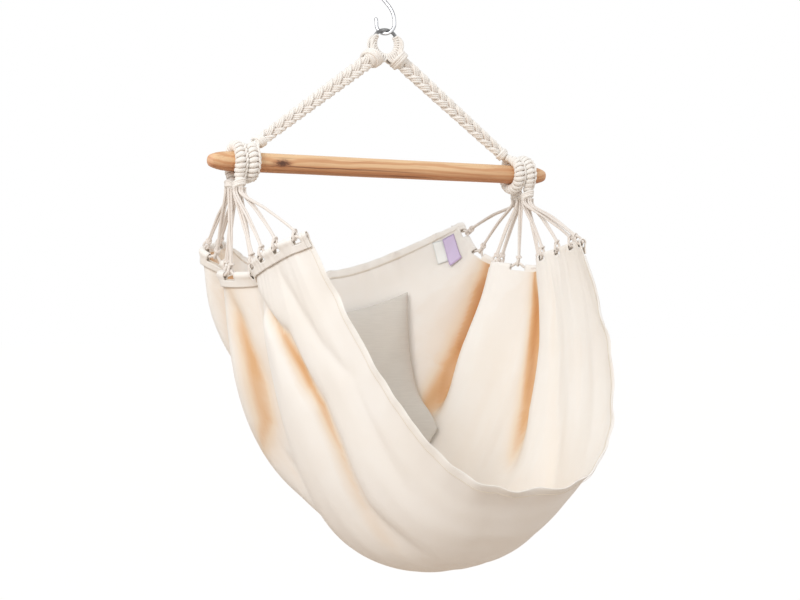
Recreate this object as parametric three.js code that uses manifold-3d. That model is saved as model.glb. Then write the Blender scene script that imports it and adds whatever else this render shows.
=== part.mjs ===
// Hammock chair: a cotton sling hung by fans of cords from a wooden spreader bar, which two plaited
// ropes carry from one steel ring on an S-hook. Millimetres, +Z up, front towards -Y, bar along X.
// The origin is the point in the S-hook's upper bend that bears on the hook or eye above it.
import * as THREE from 'three';
import Module from 'manifold-3d';
import { mergeVertices } from 'three/addons/utils/BufferGeometryUtils.js';

// S-hook and ring
const HOOK_WIRE = 7.2;
const HOOK_BEND = 20;
const HOOK_SPAN = 94.4;
const HOOK_TIP = 15;
const HOOK_FLARE = 2;
const HOOK_TURN = -Math.PI / 4;
const RING_WIRE = 7.4;
const RING_OUTER = 66;

// Clearances
const TOUCH_GAP = 0.35;
const SLIDE_GAP = 0.8;
const RING_HANG_GAP = 0.65;

// Spreader bar
const BAR_LENGTH = 800;
const BAR_DIAMETER = 40;
const BAR_NOSE = 52;
const BAR_DROP = 265;

// Plaited suspension ropes and the eyes that hold them to the ring
const EYE_CORD = 6.4;
const EYE_CORDS = 5;
const EYE_FIRST_ANGLE = 167;
const EYE_STEP_ANGLE = 19.5;
const EYE_REACH_SHARE = 0.62;
const EYE_KNOT_LENGTH = 16;
const EYE_KNOT_DIAMETER = 30;
const BRAID_TOP_X = 41;
const BRAID_TOP_DROP = 39.5;
const BRAID_END_INSET = 119;
const BRAID_END_RISE = 49;
const BRAID_TOP_DIAMETER = 35;
const BRAID_END_DIAMETER = 27;
const BRAID_BUMPS = 11;
const BRAID_BUMP_SHARE = 0.07;

// Hitched eyes round the bar
const CORE_CORD = 11;
const HITCH_CORD = 5;
const HITCH_CURLS = 16;
const LOOP_INSET = 86;
const SADDLE_INSET = 59;
const LOOP_ARC_START = 48;
const SADDLE_ARC_END = 122;
const COLLAR_DIAMETER = 27;
const COLLAR_LENGTH = 18;
const COLLAR_WRAPS = 3;

// Fan cords, from the collars under the bar down to the hem ropes
const FAN_COLLAR_Y = 22;
const FAN_COLLAR_TOP = 38;
const FAN_CORD = 4.2;
const FAN_PER_COLLAR = 5;
const FAN_RING_RADIUS = 9.7;
const FAN_STRAIGHT = 7;
const FAN_SPLIT = 16;
const FAN_LOOP_STEP = 0.97;

// Sling cloth and its hems
const SLING_INSET = 50;
const SLING_REACH = 430;
const SLING_DROP = 830;
const CLOTH = 2.2;
const HEM_ROPE = 6;
const HEM_CHANNEL = 6.4;
const HEM_DEPTH = 24;
const HEM_SLOT_SHARE = 0.036;
const HEM_END_SHARE = 0.045;

// Cushion, bent into the angle of back and seat
const CUSHION_WIDTH = 370;
const CUSHION_HEIGHT = 430;
const CUSHION_THICK = 32;
const CUSHION_EDGE = 8;
const CUSHION_CENTRE_X = -42;
const CUSHION_TOP_SHARE = 0.075;
const CUSHION_GAP = 12;
const CUSHION_DRAW_SHARE = 0.06;

const COLORS = {
  zinc: new THREE.MeshStandardMaterial({ color: 0xc9ccd0, roughness: 0.25, metalness: 1 }),
  steel: new THREE.MeshStandardMaterial({ color: 0x77787a, roughness: 0.4, metalness: 1 }),
  wood: new THREE.MeshStandardMaterial({ color: 0xd6a878, roughness: 0.55, metalness: 0 }),
  rope: new THREE.MeshStandardMaterial({ color: 0xe9e3da, roughness: 0.9, metalness: 0 }),
  canvas: new THREE.MeshStandardMaterial({ color: 0xf3e9da, roughness: 0.9, metalness: 0 }),
  linen: new THREE.MeshStandardMaterial({ color: 0xd8d0c4, roughness: 0.9, metalness: 0 }),
};

// Places along the bar, measured in from its ends
const BRAID_END_X = BAR_LENGTH / 2 - BRAID_END_INSET;
const LOOP_X = BAR_LENGTH / 2 - LOOP_INSET;
const SADDLE_X = BAR_LENGTH / 2 - SADDLE_INSET;
const SLING_SPAN = BAR_LENGTH / 2 - SLING_INSET;

// Heights that follow from the sizes above
const UPPER_BEND_Z = -(HOOK_BEND - HOOK_WIRE / 2);
const LOWER_BEND_Z = UPPER_BEND_Z - HOOK_SPAN;
const RING_RADIUS = (RING_OUTER - RING_WIRE) / 2;
const RING_TOP_Z = LOWER_BEND_Z - HOOK_BEND + (HOOK_WIRE + RING_WIRE) / 2 + RING_HANG_GAP;
const RING_Z = RING_TOP_Z - RING_RADIUS;
const BAR_Z = RING_Z - BAR_DROP;
const HITCH_RADIUS = (CORE_CORD + HITCH_CORD + 3 * TOUCH_GAP) / 2 / Math.cos(Math.PI / 8);
const HITCH_OUTER = HITCH_RADIUS + HITCH_CORD / 2;
const EYE_RADIUS = BAR_DIAMETER / 2 + TOUCH_GAP + HITCH_OUTER;
const SIDES = [['left', -1], ['right', 1]];

const vec = (x, y, z) => new THREE.Vector3(x, y, z);
const radians = (degrees) => THREE.MathUtils.degToRad(degrees);

// A curve through its points that is stepped from point to point, not by length
class Route extends THREE.CatmullRomCurve3 {
  constructor(points) {
    super(points, false, 'centripetal');
  }
  getUtoTmapping(u) {
    return u;
  }
}

function polygon(radius, sides) {
  const shape = new THREE.Shape();
  for (let i = 0; i < sides; i++) {
    const angle = (2 * Math.PI * (i + 0.5)) / sides;
    const [x, y] = [radius * Math.cos(angle), radius * Math.sin(angle)];
    if (i === 0) shape.moveTo(x, y);
    else shape.lineTo(x, y);
  }
  return shape;
}

function tube(points, diameter, sides, steps = points.length - 1) {
  const settings = { steps, bevelEnabled: false, extrudePath: new Route(points) };
  return new THREE.ExtrudeGeometry(polygon(diameter / 2, sides), settings);
}

// A turned form of [radius, height] points, its axis laid from one point towards another
function turned(profile, from, to, segments = 10) {
  const points = profile.map(([r, h]) => new THREE.Vector2(r, h));
  const geometry = new THREE.LatheGeometry(points, segments);
  const axis = to.clone().sub(from).normalize();
  geometry.applyQuaternion(new THREE.Quaternion().setFromUnitVectors(vec(0, 1, 0), axis));
  return geometry.translate(from.x, from.y, from.z);
}

// A barrel of cord wraps: a bead for each turn, between two flat faces
function wrappedBarrel(from, to, diameter, wraps) {
  const length = from.distanceTo(to);
  const turnLength = length / wraps;
  const waist = diameter / 2 - turnLength / 4;
  const profile = [[0, 0], [waist, 0]];
  for (let i = 0; i < wraps; i++) {
    profile.push([diameter / 2, (i + 0.3) * turnLength], [diameter / 2, (i + 0.7) * turnLength]);
    profile.push([waist, (i + 1) * turnLength]);
  }
  profile.push([0, length]);
  return turned(profile, from, to);
}

const wasm = await Module();
wasm.setup();

function solidOf(geometry) {
  const bare = geometry.clone();
  bare.deleteAttribute('normal');
  bare.deleteAttribute('uv');
  const merged = mergeVertices(bare, TOUCH_GAP / 1000);
  const triVerts = new Uint32Array(merged.index.array);
  const vertProperties = new Float32Array(merged.attributes.position.array);
  return new wasm.Manifold(new wasm.Mesh({ numProp: 3, vertProperties, triVerts }));
}

function joined(geometries) {
  const solid = geometries.map(solidOf).reduce((sum, next) => sum.add(next));
  const mesh = solid.getMesh();
  const geometry = new THREE.BufferGeometry();
  geometry.setAttribute('position', new THREE.BufferAttribute(mesh.vertProperties, 3));
  geometry.setIndex(new THREE.BufferAttribute(mesh.triVerts, 1));
  return geometry;
}

// S-hook: two bends of one wire, the lower open to the left and the upper to the right
function hookGeometry() {
  const at = (p, z) => vec(p * Math.cos(HOOK_TURN), p * Math.sin(HOOK_TURN), z);
  const points = [];
  const bend = (centreZ, side) => {
    for (let i = 0; i <= 8; i++) {
      const angle = (Math.PI * i) / 8;
      points.push(at(-side * HOOK_BEND * Math.cos(angle), centreZ - side * HOOK_BEND * Math.sin(angle)));
    }
  };
  points.push(at(-HOOK_BEND - HOOK_FLARE, LOWER_BEND_Z + HOOK_TIP));
  points.push(at(-HOOK_BEND - HOOK_FLARE / 4, LOWER_BEND_Z + HOOK_TIP / 2));
  bend(LOWER_BEND_Z, 1);
  const neck = new THREE.CubicBezierCurve3(
    at(HOOK_BEND, LOWER_BEND_Z), at(HOOK_BEND, LOWER_BEND_Z + HOOK_SPAN / 2),
    at(-HOOK_BEND, UPPER_BEND_Z - HOOK_SPAN / 2), at(-HOOK_BEND, UPPER_BEND_Z));
  points.push(...neck.getPoints(7).slice(1, -1));
  for (let i = 0; i <= 8; i++) {
    const angle = (Math.PI * i) / 8;
    points.push(at(-HOOK_BEND * Math.cos(angle), UPPER_BEND_Z + HOOK_BEND * Math.sin(angle)));
  }
  points.push(at(HOOK_BEND + HOOK_FLARE / 4, UPPER_BEND_Z - HOOK_TIP / 2));
  points.push(at(HOOK_BEND + HOOK_FLARE, UPPER_BEND_Z - HOOK_TIP));
  return tube(points, HOOK_WIRE, 8);
}

function ringGeometry() {
  const ring = new THREE.TorusGeometry(RING_RADIUS, RING_WIRE / 2, 8, 32);
  return ring.rotateX(Math.PI / 2).translate(0, 0, RING_Z);
}

// The line of one plaited rope, from its knot under the ring to its collar above the bar
function braidLine(side) {
  const top = vec(side * BRAID_TOP_X, 0, RING_Z - BRAID_TOP_DROP);
  const end = vec(side * BRAID_END_X, 0, BAR_Z + BRAID_END_RISE);
  const along = end.clone().sub(top).normalize();
  return { top, end, along };
}

// Eye on the ring: parallel cords, each over the ring's wire, bound by a knot of wraps
function eyeGeometry(side) {
  const { top, along } = braidLine(side);
  const knotEnd = top.clone().addScaledVector(along, -TOUCH_GAP);
  const knotStart = knotEnd.clone().addScaledVector(along, -EYE_KNOT_LENGTH);
  const pieces = [wrappedBarrel(knotStart, knotEnd, EYE_KNOT_DIAMETER, 3)];
  const bore = ((RING_WIRE + EYE_CORD) / 2 + SLIDE_GAP) / Math.cos(Math.PI / 8);
  const across = vec(-along.z, 0, along.x).multiplyScalar(side);
  for (let i = 0; i < EYE_CORDS; i++) {
    const angle = radians(EYE_FIRST_ANGLE + i * EYE_STEP_ANGLE);
    const out = vec(-side * Math.cos(angle), 0, Math.sin(angle));
    const wire = vec(0, 0, RING_Z).addScaledVector(out, RING_RADIUS);
    const spread = (i - (EYE_CORDS - 1) / 2) * EYE_CORD * 0.5;
    const foot = knotStart.clone().addScaledVector(along, EYE_CORD).addScaledVector(across, spread);
    const beside = wire.clone().lerp(foot, EYE_REACH_SHARE);
    const points = [vec(foot.x, -EYE_CORD / 2, foot.z), vec(beside.x, -bore, beside.z)];
    for (let step = -2; step <= 2; step++) {
      const turn = (Math.PI * step) / 4;
      const point = wire.clone().addScaledVector(out, -bore * Math.cos(turn));
      points.push(point.add(vec(0, bore * Math.sin(turn), 0)));
    }
    points.push(vec(beside.x, bore, beside.z), vec(foot.x, EYE_CORD / 2, foot.z));
    pieces.push(tube(points, EYE_CORD, 6));
  }
  return joined(pieces);
}

// Plaited rope: a round rope that swells at each crossing of its strands and thins towards the bar
function braidGeometry(side) {
  const { top, end } = braidLine(side);
  const length = top.distanceTo(end);
  const steps = BRAID_BUMPS * 2;
  const profile = [[0, 0]];
  for (let i = 0; i <= steps; i++) {
    const share = i / steps;
    const radius = THREE.MathUtils.lerp(BRAID_TOP_DIAMETER, BRAID_END_DIAMETER, share) / 2;
    const swell = i % 2 ? 1 : 1 - 2 * BRAID_BUMP_SHARE;
    profile.push([radius * swell, share * length]);
  }
  profile.push([0, length]);
  return turned(profile, top, end, 10);
}

function braidCollarGeometry(side) {
  const { end, along } = braidLine(side);
  const from = end.clone().addScaledVector(along, TOUCH_GAP);
  const to = from.clone().addScaledVector(along, COLLAR_LENGTH);
  return wrappedBarrel(from, to, COLLAR_DIAMETER, COLLAR_WRAPS);
}

// A point on the round of an eye: angle 0 is above the bar, 90 in front of it, 180 below it
function aroundBar(side, x, angle) {
  const turn = radians(angle);
  return vec(side * x, -EYE_RADIUS * Math.sin(turn), BAR_Z + EYE_RADIUS * Math.cos(turn));
}

// The plait's eye: from the collar down the front of the bar, under it and up the back
function loopPoints(side) {
  const { end, along } = braidLine(side);
  const foot = end.clone().addScaledVector(along, COLLAR_LENGTH + 2 * TOUCH_GAP);
  const half = CORE_CORD / 2 + TOUCH_GAP;
  const entry = (front) => {
    const straight = vec(foot.x, front * half, foot.z).addScaledVector(along, CORE_CORD / 3);
    const shoulder = aroundBar(side, LOOP_X, -front * LOOP_ARC_START * 0.62).lerp(straight, 0.35);
    return [vec(foot.x, front * half, foot.z), straight, shoulder];
  };
  const arc = [];
  const arcSteps = 16;
  for (let i = 0; i <= arcSteps; i++) {
    const angle = THREE.MathUtils.lerp(LOOP_ARC_START, 360 - LOOP_ARC_START, i / arcSteps);
    arc.push(aroundBar(side, LOOP_X, angle));
  }
  return [...entry(-1), ...arc, ...entry(1).reverse()];
}

// The fan's eye: a saddle over the bar whose front and back legs end in the two fan collars
function saddlePoints(side) {
  const leg = (front) => {
    const footY = front * FAN_COLLAR_Y;
    const foot = vec(side * SADDLE_X, footY, BAR_Z - FAN_COLLAR_TOP + TOUCH_GAP);
    const ankle = foot.clone().setZ(foot.z + CORE_CORD / 2);
    return [foot, ankle];
  };
  const arc = [];
  const arcSteps = 14;
  for (let i = 0; i <= arcSteps; i++) {
    const angle = THREE.MathUtils.lerp(SADDLE_ARC_END, -SADDLE_ARC_END, i / arcSteps);
    arc.push(aroundBar(side, SADDLE_X, angle));
  }
  return [...leg(-1), ...arc, ...leg(1).reverse()];
}

// Half hitches: one cord wound round the core of an eye, from one end of its arc to the other
function hitchPoints(side, x, firstAngle, lastAngle) {
  const points = [];
  const steps = HITCH_CURLS * 8;
  for (let i = 0; i <= steps; i++) {
    const share = i / steps;
    const angle = THREE.MathUtils.lerp(firstAngle, lastAngle, share);
    const core = aroundBar(side, x, angle);
    const out = core.clone().sub(vec(side * x, 0, BAR_Z)).normalize();
    const phase = 2 * Math.PI * HITCH_CURLS * share;
    core.addScaledVector(out, HITCH_RADIUS * Math.cos(phase));
    core.x += side * HITCH_RADIUS * Math.sin(phase);
    points.push(core);
  }
  return points;
}

function fanCollarGeometry(side, front) {
  const y = front * FAN_COLLAR_Y;
  const top = vec(side * SADDLE_X, y, BAR_Z - FAN_COLLAR_TOP);
  const foot = vec(top.x, y, top.z - COLLAR_LENGTH);
  return wrappedBarrel(top, foot, COLLAR_DIAMETER, COLLAR_WRAPS);
}

// Spreader bar: a round rod whose ends taper to blunt noses
function barGeometry() {
  const noseShares = [[0, 0], [0.05, 0.42], [0.16, 0.66], [0.36, 0.85], [0.65, 0.96], [1, 1]];
  const radius = BAR_DIAMETER / 2;
  const left = noseShares.map(([l, r]) => [r * radius, l * BAR_NOSE]);
  const right = noseShares.map(([l, r]) => [r * radius, BAR_LENGTH - l * BAR_NOSE]).reverse();
  const from = vec(-BAR_LENGTH / 2, 0, BAR_Z);
  return turned([...left, ...right], from, vec(0, 0, BAR_Z), 24);
}

// The sling is one cloth. Rows run from its back edge to its front edge. Each row of a hem gives a
// place (outwards, backwards, below the bar) and the fall of the cloth below it; the spine is its
// middle line, and the belly how far the cloth runs level from the spine before it climbs.
const LEFT_ROW_SHARES = [0, 0.19, 0.3, 0.41, 0.53, 0.65, 0.77, 0.89, 1];
const RIGHT_ROW_SHARES = [0, 0.125, 0.25, 0.375, 0.5, 0.625, 0.75, 0.875, 1];
const LEFT_HEM_SHARES = [
  [0.845, 0.411, 0.183], [1.016, 0.318, 0.206], [0.921, 0.169, 0.248], [1.044, 0.007, 0.268],
  [0.95, -0.177, 0.268], [1.021, -0.339, 0.248], [1.016, -0.453, 0.228], [0.973, -0.569, 0.206],
  [0.888, -0.671, 0.185]];
const RIGHT_HEM_SHARES = [
  [0.866, 0.449, 0.116], [0.861, 0.318, 0.189], [0.958, 0.196, 0.23], [0.824, 0.1, 0.23],
  [0.998, -0.096, 0.242], [0.906, -0.234, 0.22], [0.938, -0.362, 0.203], [0.918, -0.534, 0.191],
  [0.839, -0.685, 0.189]];
const LEFT_FALL_SHARES = [
  [-0.214, 0.047, 0.072], [0.023, 0.023, 0.301], [-0.171, 0, 0.337], [-0.014, -0.047, 0.349],
  [-0.214, -0.07, 0.349], [-0.043, -0.093, 0.337], [-0.129, -0.093, 0.289], [-0.143, -0.105, 0.229],
  [-0.143, -0.105, 0.181]];
const RIGHT_FALL_SHARES = [
  [-0.229, 0.03, 0.036], [-0.214, 0.07, 0.157], [-0.029, 0.093, 0.241], [-0.143, -0.023, 0.229],
  [-0.114, 0.047, 0.325], [0.057, -0.07, 0.325], [0.1, -0.093, 0.361], [0.171, -0.14, 0.361],
  [0.2, -0.198, 0.343]];
const SPINE_SHARES = [
  [-0.104, 0.463, 0.256], [-0.075, 0.368, 0.537], [-0.02, 0.062, 0.831], [0.036, -0.369, 0.978],
  [0.036, -0.822, 0.937], [-0.048, -1.14, 0.751]];
const LEFT_BELLY_SHARES = [
  [0.229, 0, 0.036], [0.571, 0, 0.06], [0.8, 0, 0.042], [0.76, 0, 0.03], [0.4, 0, 0]];
const RIGHT_BELLY_SHARES = [
  [0.229, 0, 0], [0.286, 0, -0.036], [0.429, 0, 0], [0.59, 0, 0.024], [0.9, 0, 0.09]];
const SLING_SIDES = {
  left: { sign: -1, rows: LEFT_ROW_SHARES, hem: LEFT_HEM_SHARES, fall: LEFT_FALL_SHARES,
    belly: LEFT_BELLY_SHARES },
  right: { sign: 1, rows: RIGHT_ROW_SHARES, hem: RIGHT_HEM_SHARES, fall: RIGHT_FALL_SHARES,
    belly: RIGHT_BELLY_SHARES },
};

// Folds that run down from the hems. Each has its depth towards the seat as a share of the sling's span,
// its width as a share from back to front, where it starts on the way out from the middle, and its
// course in shares out from the middle and from the back.
const FOLD_RISE_SHARE = 0.22;
const FOLD_FALL_SHARE = 0.12;
const FOLD_LEAN = 1.6;
const FOLD_SHARES = {
  left: [
    { depth: 0.086, width: 0.036, start: 0.36, course: [[0.3, 0.33], [0.5, 0.285], [0.9, 0.275], [1, 0.29]] },
    { depth: 0.052, width: 0.034, start: 0.05,
      course: [[0.15, 0.785], [0.33, 0.772], [0.5, 0.8], [0.62, 0.806], [0.82, 0.75], [0.92, 0.64], [1, 0.53]] },
    { depth: 0.034, width: 0.03, start: 0.24, course: [[0.2, 0.55], [0.6, 0.5], [1, 0.42]] },
    { depth: 0.02, width: 0.022, start: 0.15, course: [[0.2, 0.88], [0.6, 0.925], [1, 0.8]] },
  ],
  right: [
    { depth: -0.09, width: 0.036, start: 0.25, course: [[0.3, 0.365], [0.5, 0.335], [0.66, 0.295], [1, 0.28]] },
    { depth: -0.077, width: 0.028, start: 0.33, course: [[0.4, 0.606], [0.57, 0.58], [0.77, 0.583], [1, 0.55]] },
    { depth: -0.023, width: 0.03, start: 0.2, course: [[0.2, 0.8], [0.6, 0.72], [1, 0.69]] },
  ],
};

// A smooth line through evenly spaced rows of a table, read at a share of its length
function along(table, share) {
  const last = table.length - 1;
  const place = THREE.MathUtils.clamp(share, 0, 1) * last;
  const row = Math.min(Math.floor(place), last - 1);
  const part = place - row;
  const read = (i, axis) => {
    if (i < 0) return 2 * table[0][axis] - table[1][axis];
    if (i > last) return 2 * table[last][axis] - table[last - 1][axis];
    return table[i][axis];
  };
  return [0, 1, 2].map((axis) => {
    const [a, b, c, d] = [-1, 0, 1, 2].map((step) => read(row + step, axis));
    const bend = 2 * a - 5 * b + 4 * c - d;
    return (2 * b + (c - a) * part + bend * part ** 2 + (3 * b - a - 3 * c + d) * part ** 3) / 2;
  });
}

// Where a share from back to front falls among the rows of a side's tables
function rowShare(rows, v) {
  const last = rows.length - 1;
  let i = 0;
  while (i < last - 1 && v > rows[i + 1]) i++;
  return (i + (v - rows[i]) / (rows[i + 1] - rows[i])) / last;
}

const scaled = (sign, [x, y, z]) => vec(sign * x * SLING_SPAN, y * SLING_REACH, -z * SLING_DROP);

// The curve of the cloth from its spine to one hem, at a share from back to front
function clothCurve(name, v) {
  const side = SLING_SIDES[name];
  const row = rowShare(side.rows, v);
  const spine = scaled(1, along(SPINE_SHARES, v));
  const hem = scaled(side.sign, along(side.hem, row));
  const fall = hem.clone().add(scaled(side.sign, along(side.fall, row)));
  const belly = spine.clone().add(scaled(side.sign, along(side.belly, v)));
  const points = [spine, belly, fall, hem].map((point) => point.add(vec(0, 0, BAR_Z)));
  return new THREE.CubicBezierCurve3(...points);
}

// The hem at a share: its top, the way in towards the seat, the way up square to the hem, and the
// middle of the channel that its rope runs in
function hemFrame(name, v) {
  const stepShare = 0.004;
  const { sign } = SLING_SIDES[name];
  const curve = clothCurve(name, v);
  const top = curve.getPoint(1);
  const before = clothCurve(name, Math.max(v - stepShare, 0)).getPoint(1);
  const after = clothCurve(name, Math.min(v + stepShare, 1)).getPoint(1);
  const forward = after.sub(before).normalize();
  const inwards = curve.getTangent(1).cross(forward).normalize().multiplyScalar(sign);
  const up = forward.cross(inwards).multiplyScalar(sign);
  const rope = top.clone().addScaledVector(up, -HEM_CHANNEL - CLOTH / 2);
  rope.addScaledVector(inwards, HEM_CHANNEL);
  return { curve, top, up, inwards, rope };
}

const cordCount = 2 * FAN_PER_COLLAR;
const cordShare = (i) => THREE.MathUtils.lerp(HEM_END_SHARE, 1 - HEM_END_SHARE, i / (cordCount - 1));

// The direction towards the seat, square to the cloth at a share of its curve
function seatwards(name, share, v) {
  const stepShare = 0.01;
  const ends = [Math.max(v - stepShare, 0), Math.min(v + stepShare, 1)];
  const [before, after] = ends.map((end) => clothCurve(name, end).getPoint(share));
  const across = clothCurve(name, v).getTangent(share).multiplyScalar(SLING_SIDES[name].sign);
  return after.sub(before).cross(across).normalize();
}

// Where a fold's course lies between back and front, at a share out from the middle
function courseShare(course, outShare) {
  let i = 0;
  while (i < course.length - 2 && outShare > course[i + 1][0]) i++;
  const [[low, from], [high, to]] = course.slice(i, i + 2);
  return THREE.MathUtils.lerp(from, to, THREE.MathUtils.clamp((outShare - low) / (high - low), 0, 1));
}

// How far one side's folds bring the cloth in: sideways near the hem, and upwards near the middle
function foldShift(name, outShare, v) {
  const ramp = (share) => THREE.MathUtils.smoothstep(share, 0, 1);
  const depthShares = FOLD_SHARES[name].map(({ depth, width, start, course }) => {
    const reach = ramp((outShare - start) / FOLD_RISE_SHARE) * ramp((1 - outShare) / FOLD_FALL_SHARE);
    const away = Math.abs(v - courseShare(course, outShare)) / width;
    return depth * reach * Math.exp(-(away ** 1.6));
  });
  const depth = SLING_SPAN * depthShares.reduce((sum, share) => sum + share, 0);
  const lean = (Math.PI / 2) * Math.min(FOLD_LEAN * outShare, 1);
  return vec(-SLING_SIDES[name].sign * Math.sin(lean), 0, Math.cos(lean)).multiplyScalar(depth);
}

// One line across the cloth, from the left casing's inner edge to the right one's
function clothLine(v) {
  const bodyShares = [0.14, 0.28, 0.42, 0.56, 0.7, 0.82, 0.91];
  const half = (name) => {
    const { curve, top, up, inwards } = hemFrame(name, v);
    const lengthSteps = 100;
    const lengths = curve.getLengths(lengthSteps);
    const points = bodyShares.map((share) => {
      const outShare = lengths[Math.round(share * lengthSteps)] / lengths[lengthSteps];
      return curve.getPoint(share).add(foldShift(name, outShare, v));
    });
    const place = (inside, height) => {
      const level = top.clone().addScaledVector(up, height - HEM_CHANNEL - CLOTH / 2);
      return level.addScaledVector(inwards, inside);
    };
    points.push(place(0, -2 * HEM_CHANNEL), place(0, 0));
    points.push(place(0.45 * HEM_CHANNEL, 0.9 * HEM_CHANNEL));
    points.push(place(1.55 * HEM_CHANNEL, 0.9 * HEM_CHANNEL));
    points.push(place(2 * HEM_CHANNEL, -0.1 * HEM_CHANNEL));
    points.push(place(CLOTH + TOUCH_GAP, -HEM_DEPTH));
    return points;
  };
  const middle = clothCurve('left', v).getPoint(0);
  return [...half('left').reverse(), middle, ...half('right')];
}

// A sheet of even thickness over a grid of points, without the cells that are cut out
function sheetGeometry(grid, thickness, isCut) {
  const [rows, columns] = [grid.length, grid[0].length];
  const normalAt = (i, j) => {
    const across = grid[Math.min(i + 1, rows - 1)][j].clone().sub(grid[Math.max(i - 1, 0)][j]);
    const down = grid[i][Math.min(j + 1, columns - 1)].clone().sub(grid[i][Math.max(j - 1, 0)]);
    return across.cross(down).normalize();
  };
  const faces = [1, -1].map((way) => grid.map((line, i) => line.map((point, j) =>
    point.clone().addScaledVector(normalAt(i, j), (way * thickness) / 2))));
  const positions = [];
  const quad = (a, b, c, d) => {
    for (const point of [a, b, c, a, c, d]) positions.push(point.x, point.y, point.z);
  };
  const solid = (i, j) => i >= 0 && j >= 0 && i < rows - 1 && j < columns - 1 && !isCut(i, j);
  const [upper, lower] = faces;
  const wall = (i, j, k, l) => quad(upper[i][j], lower[i][j], lower[k][l], upper[k][l]);
  for (let i = 0; i < rows - 1; i++) {
    for (let j = 0; j < columns - 1; j++) {
      if (!solid(i, j)) continue;
      quad(upper[i][j], upper[i + 1][j], upper[i + 1][j + 1], upper[i][j + 1]);
      quad(lower[i][j], lower[i][j + 1], lower[i + 1][j + 1], lower[i + 1][j]);
      if (!solid(i - 1, j)) wall(i, j + 1, i, j);
      if (!solid(i + 1, j)) wall(i + 1, j, i + 1, j + 1);
      if (!solid(i, j - 1)) wall(i, j, i + 1, j);
      if (!solid(i, j + 1)) wall(i + 1, j + 1, i, j + 1);
    }
  }
  const geometry = new THREE.BufferGeometry();
  geometry.setAttribute('position', new THREE.Float32BufferAttribute(positions, 3));
  return geometry;
}

// The lines of the cloth from back to front: its two edges, both sides of each cord's slot and a line
// between each two slots
function clothShares() {
  const shares = [0];
  for (let i = 0; i < cordCount; i++) {
    if (i > 0) shares.push((cordShare(i - 1) + cordShare(i)) / 2);
    shares.push(cordShare(i) - HEM_SLOT_SHARE / 2, cordShare(i) + HEM_SLOT_SHARE / 2);
  }
  return [...shares, 1];
}

function slingGeometry() {
  const grid = clothShares().map(clothLine);
  const last = grid[0].length - 2;
  const slotCells = 5;
  const isCut = (i, j) => i % 3 === 1 && (j < slotCells || j > last - slotCells);
  return sheetGeometry(grid, CLOTH, isCut);
}

function hemRopeGeometry(name) {
  return tube(clothShares().map((share) => hemFrame(name, share).rope), HEM_ROPE, 6);
}

// Every order of the numbers below a count
function orders(count) {
  if (count === 0) return [[]];
  return orders(count - 1).flatMap((order) =>
    [...order, 0].map((_, i) => [...order.slice(0, i), count - 1, ...order.slice(i)]));
}

// The cords of one collar leave it in a circle. Each takes the place that lies nearest to its own
// way to the hem, so that no two of them cross.
function fanPlaces(name, front) {
  const first = front > 0 ? 0 : FAN_PER_COLLAR;
  const ways = Array.from({ length: FAN_PER_COLLAR }, (_, i) =>
    hemFrame(name, cordShare(first + i)).rope.setZ(0));
  const middle = ways.reduce((sum, way) => sum.add(way), vec(0, 0, 0)).divideScalar(ways.length);
  for (const way of ways) way.sub(middle);
  const turn = (2 * Math.PI) / FAN_PER_COLLAR;
  const place = (k) => vec(Math.sin(k * turn), front * Math.cos(k * turn), 0);
  const fit = (order) => order.reduce((sum, k, i) => sum + place(k).dot(ways[i]), 0);
  const best = orders(FAN_PER_COLLAR).reduce((a, b) => (fit(b) > fit(a) ? b : a));
  return best.map((k) => k * turn);
}

// One fan cord: down from its collar, round the hem rope in its slot, and up again beside itself
function fanCordPoints(name, sign, index, places) {
  const front = index >= FAN_PER_COLLAR ? -1 : 1;
  const foot = BAR_Z - FAN_COLLAR_TOP - COLLAR_LENGTH - TOUCH_GAP;
  const centre = vec(sign * SADDLE_X, front * FAN_COLLAR_Y, foot);
  const { up, inwards } = hemFrame(name, cordShare(index));
  const slotEnds = [-1, 1].map((way) => cordShare(index) + (way * HEM_SLOT_SHARE) / 2);
  const [slotStart, slotEnd] = slotEnds.map((share) => hemFrame(name, share).rope);
  const rope = slotStart.lerp(slotEnd, 0.5);
  const radius = (HEM_ROPE + FAN_CORD) / 2 + 3 * TOUCH_GAP;
  const loop = [-2, -1, 0, 1, 2].map((step) => {
    const angle = step * FAN_LOOP_STEP;
    const point = rope.clone().addScaledVector(inwards, radius * Math.sin(angle));
    return point.addScaledVector(up, -radius * Math.cos(angle));
  });
  const ring = places[index % FAN_PER_COLLAR];
  const top = centre.clone().setZ(foot - FAN_STRAIGHT);
  top.addScaledVector(vec(Math.sin(ring), front * Math.cos(ring), 0), FAN_RING_RADIUS);
  const pull = centre.clone().sub(rope).normalize();
  const split = rope.clone().addScaledVector(up, 1.4 * radius).addScaledVector(pull, FAN_SPLIT);
  const level = vec(-pull.y, pull.x, 0).normalize();
  level.multiplyScalar(Math.sign(level.dot(inwards)));
  const square = inwards.clone().addScaledVector(pull, -inwards.dot(pull)).normalize();
  const between = level.clone().add(square).normalize();
  const strand = (side) => {
    const half = side * (FAN_CORD / 2 + TOUCH_GAP);
    const straight = top.clone().addScaledVector(level, half);
    const middle = top.clone().lerp(split, 0.5).addScaledVector(between, half);
    return [straight.clone().setZ(foot), straight, middle, split.clone().addScaledVector(square, half)];
  };
  return [...strand(-1), ...loop, ...strand(1).reverse()];
}

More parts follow.
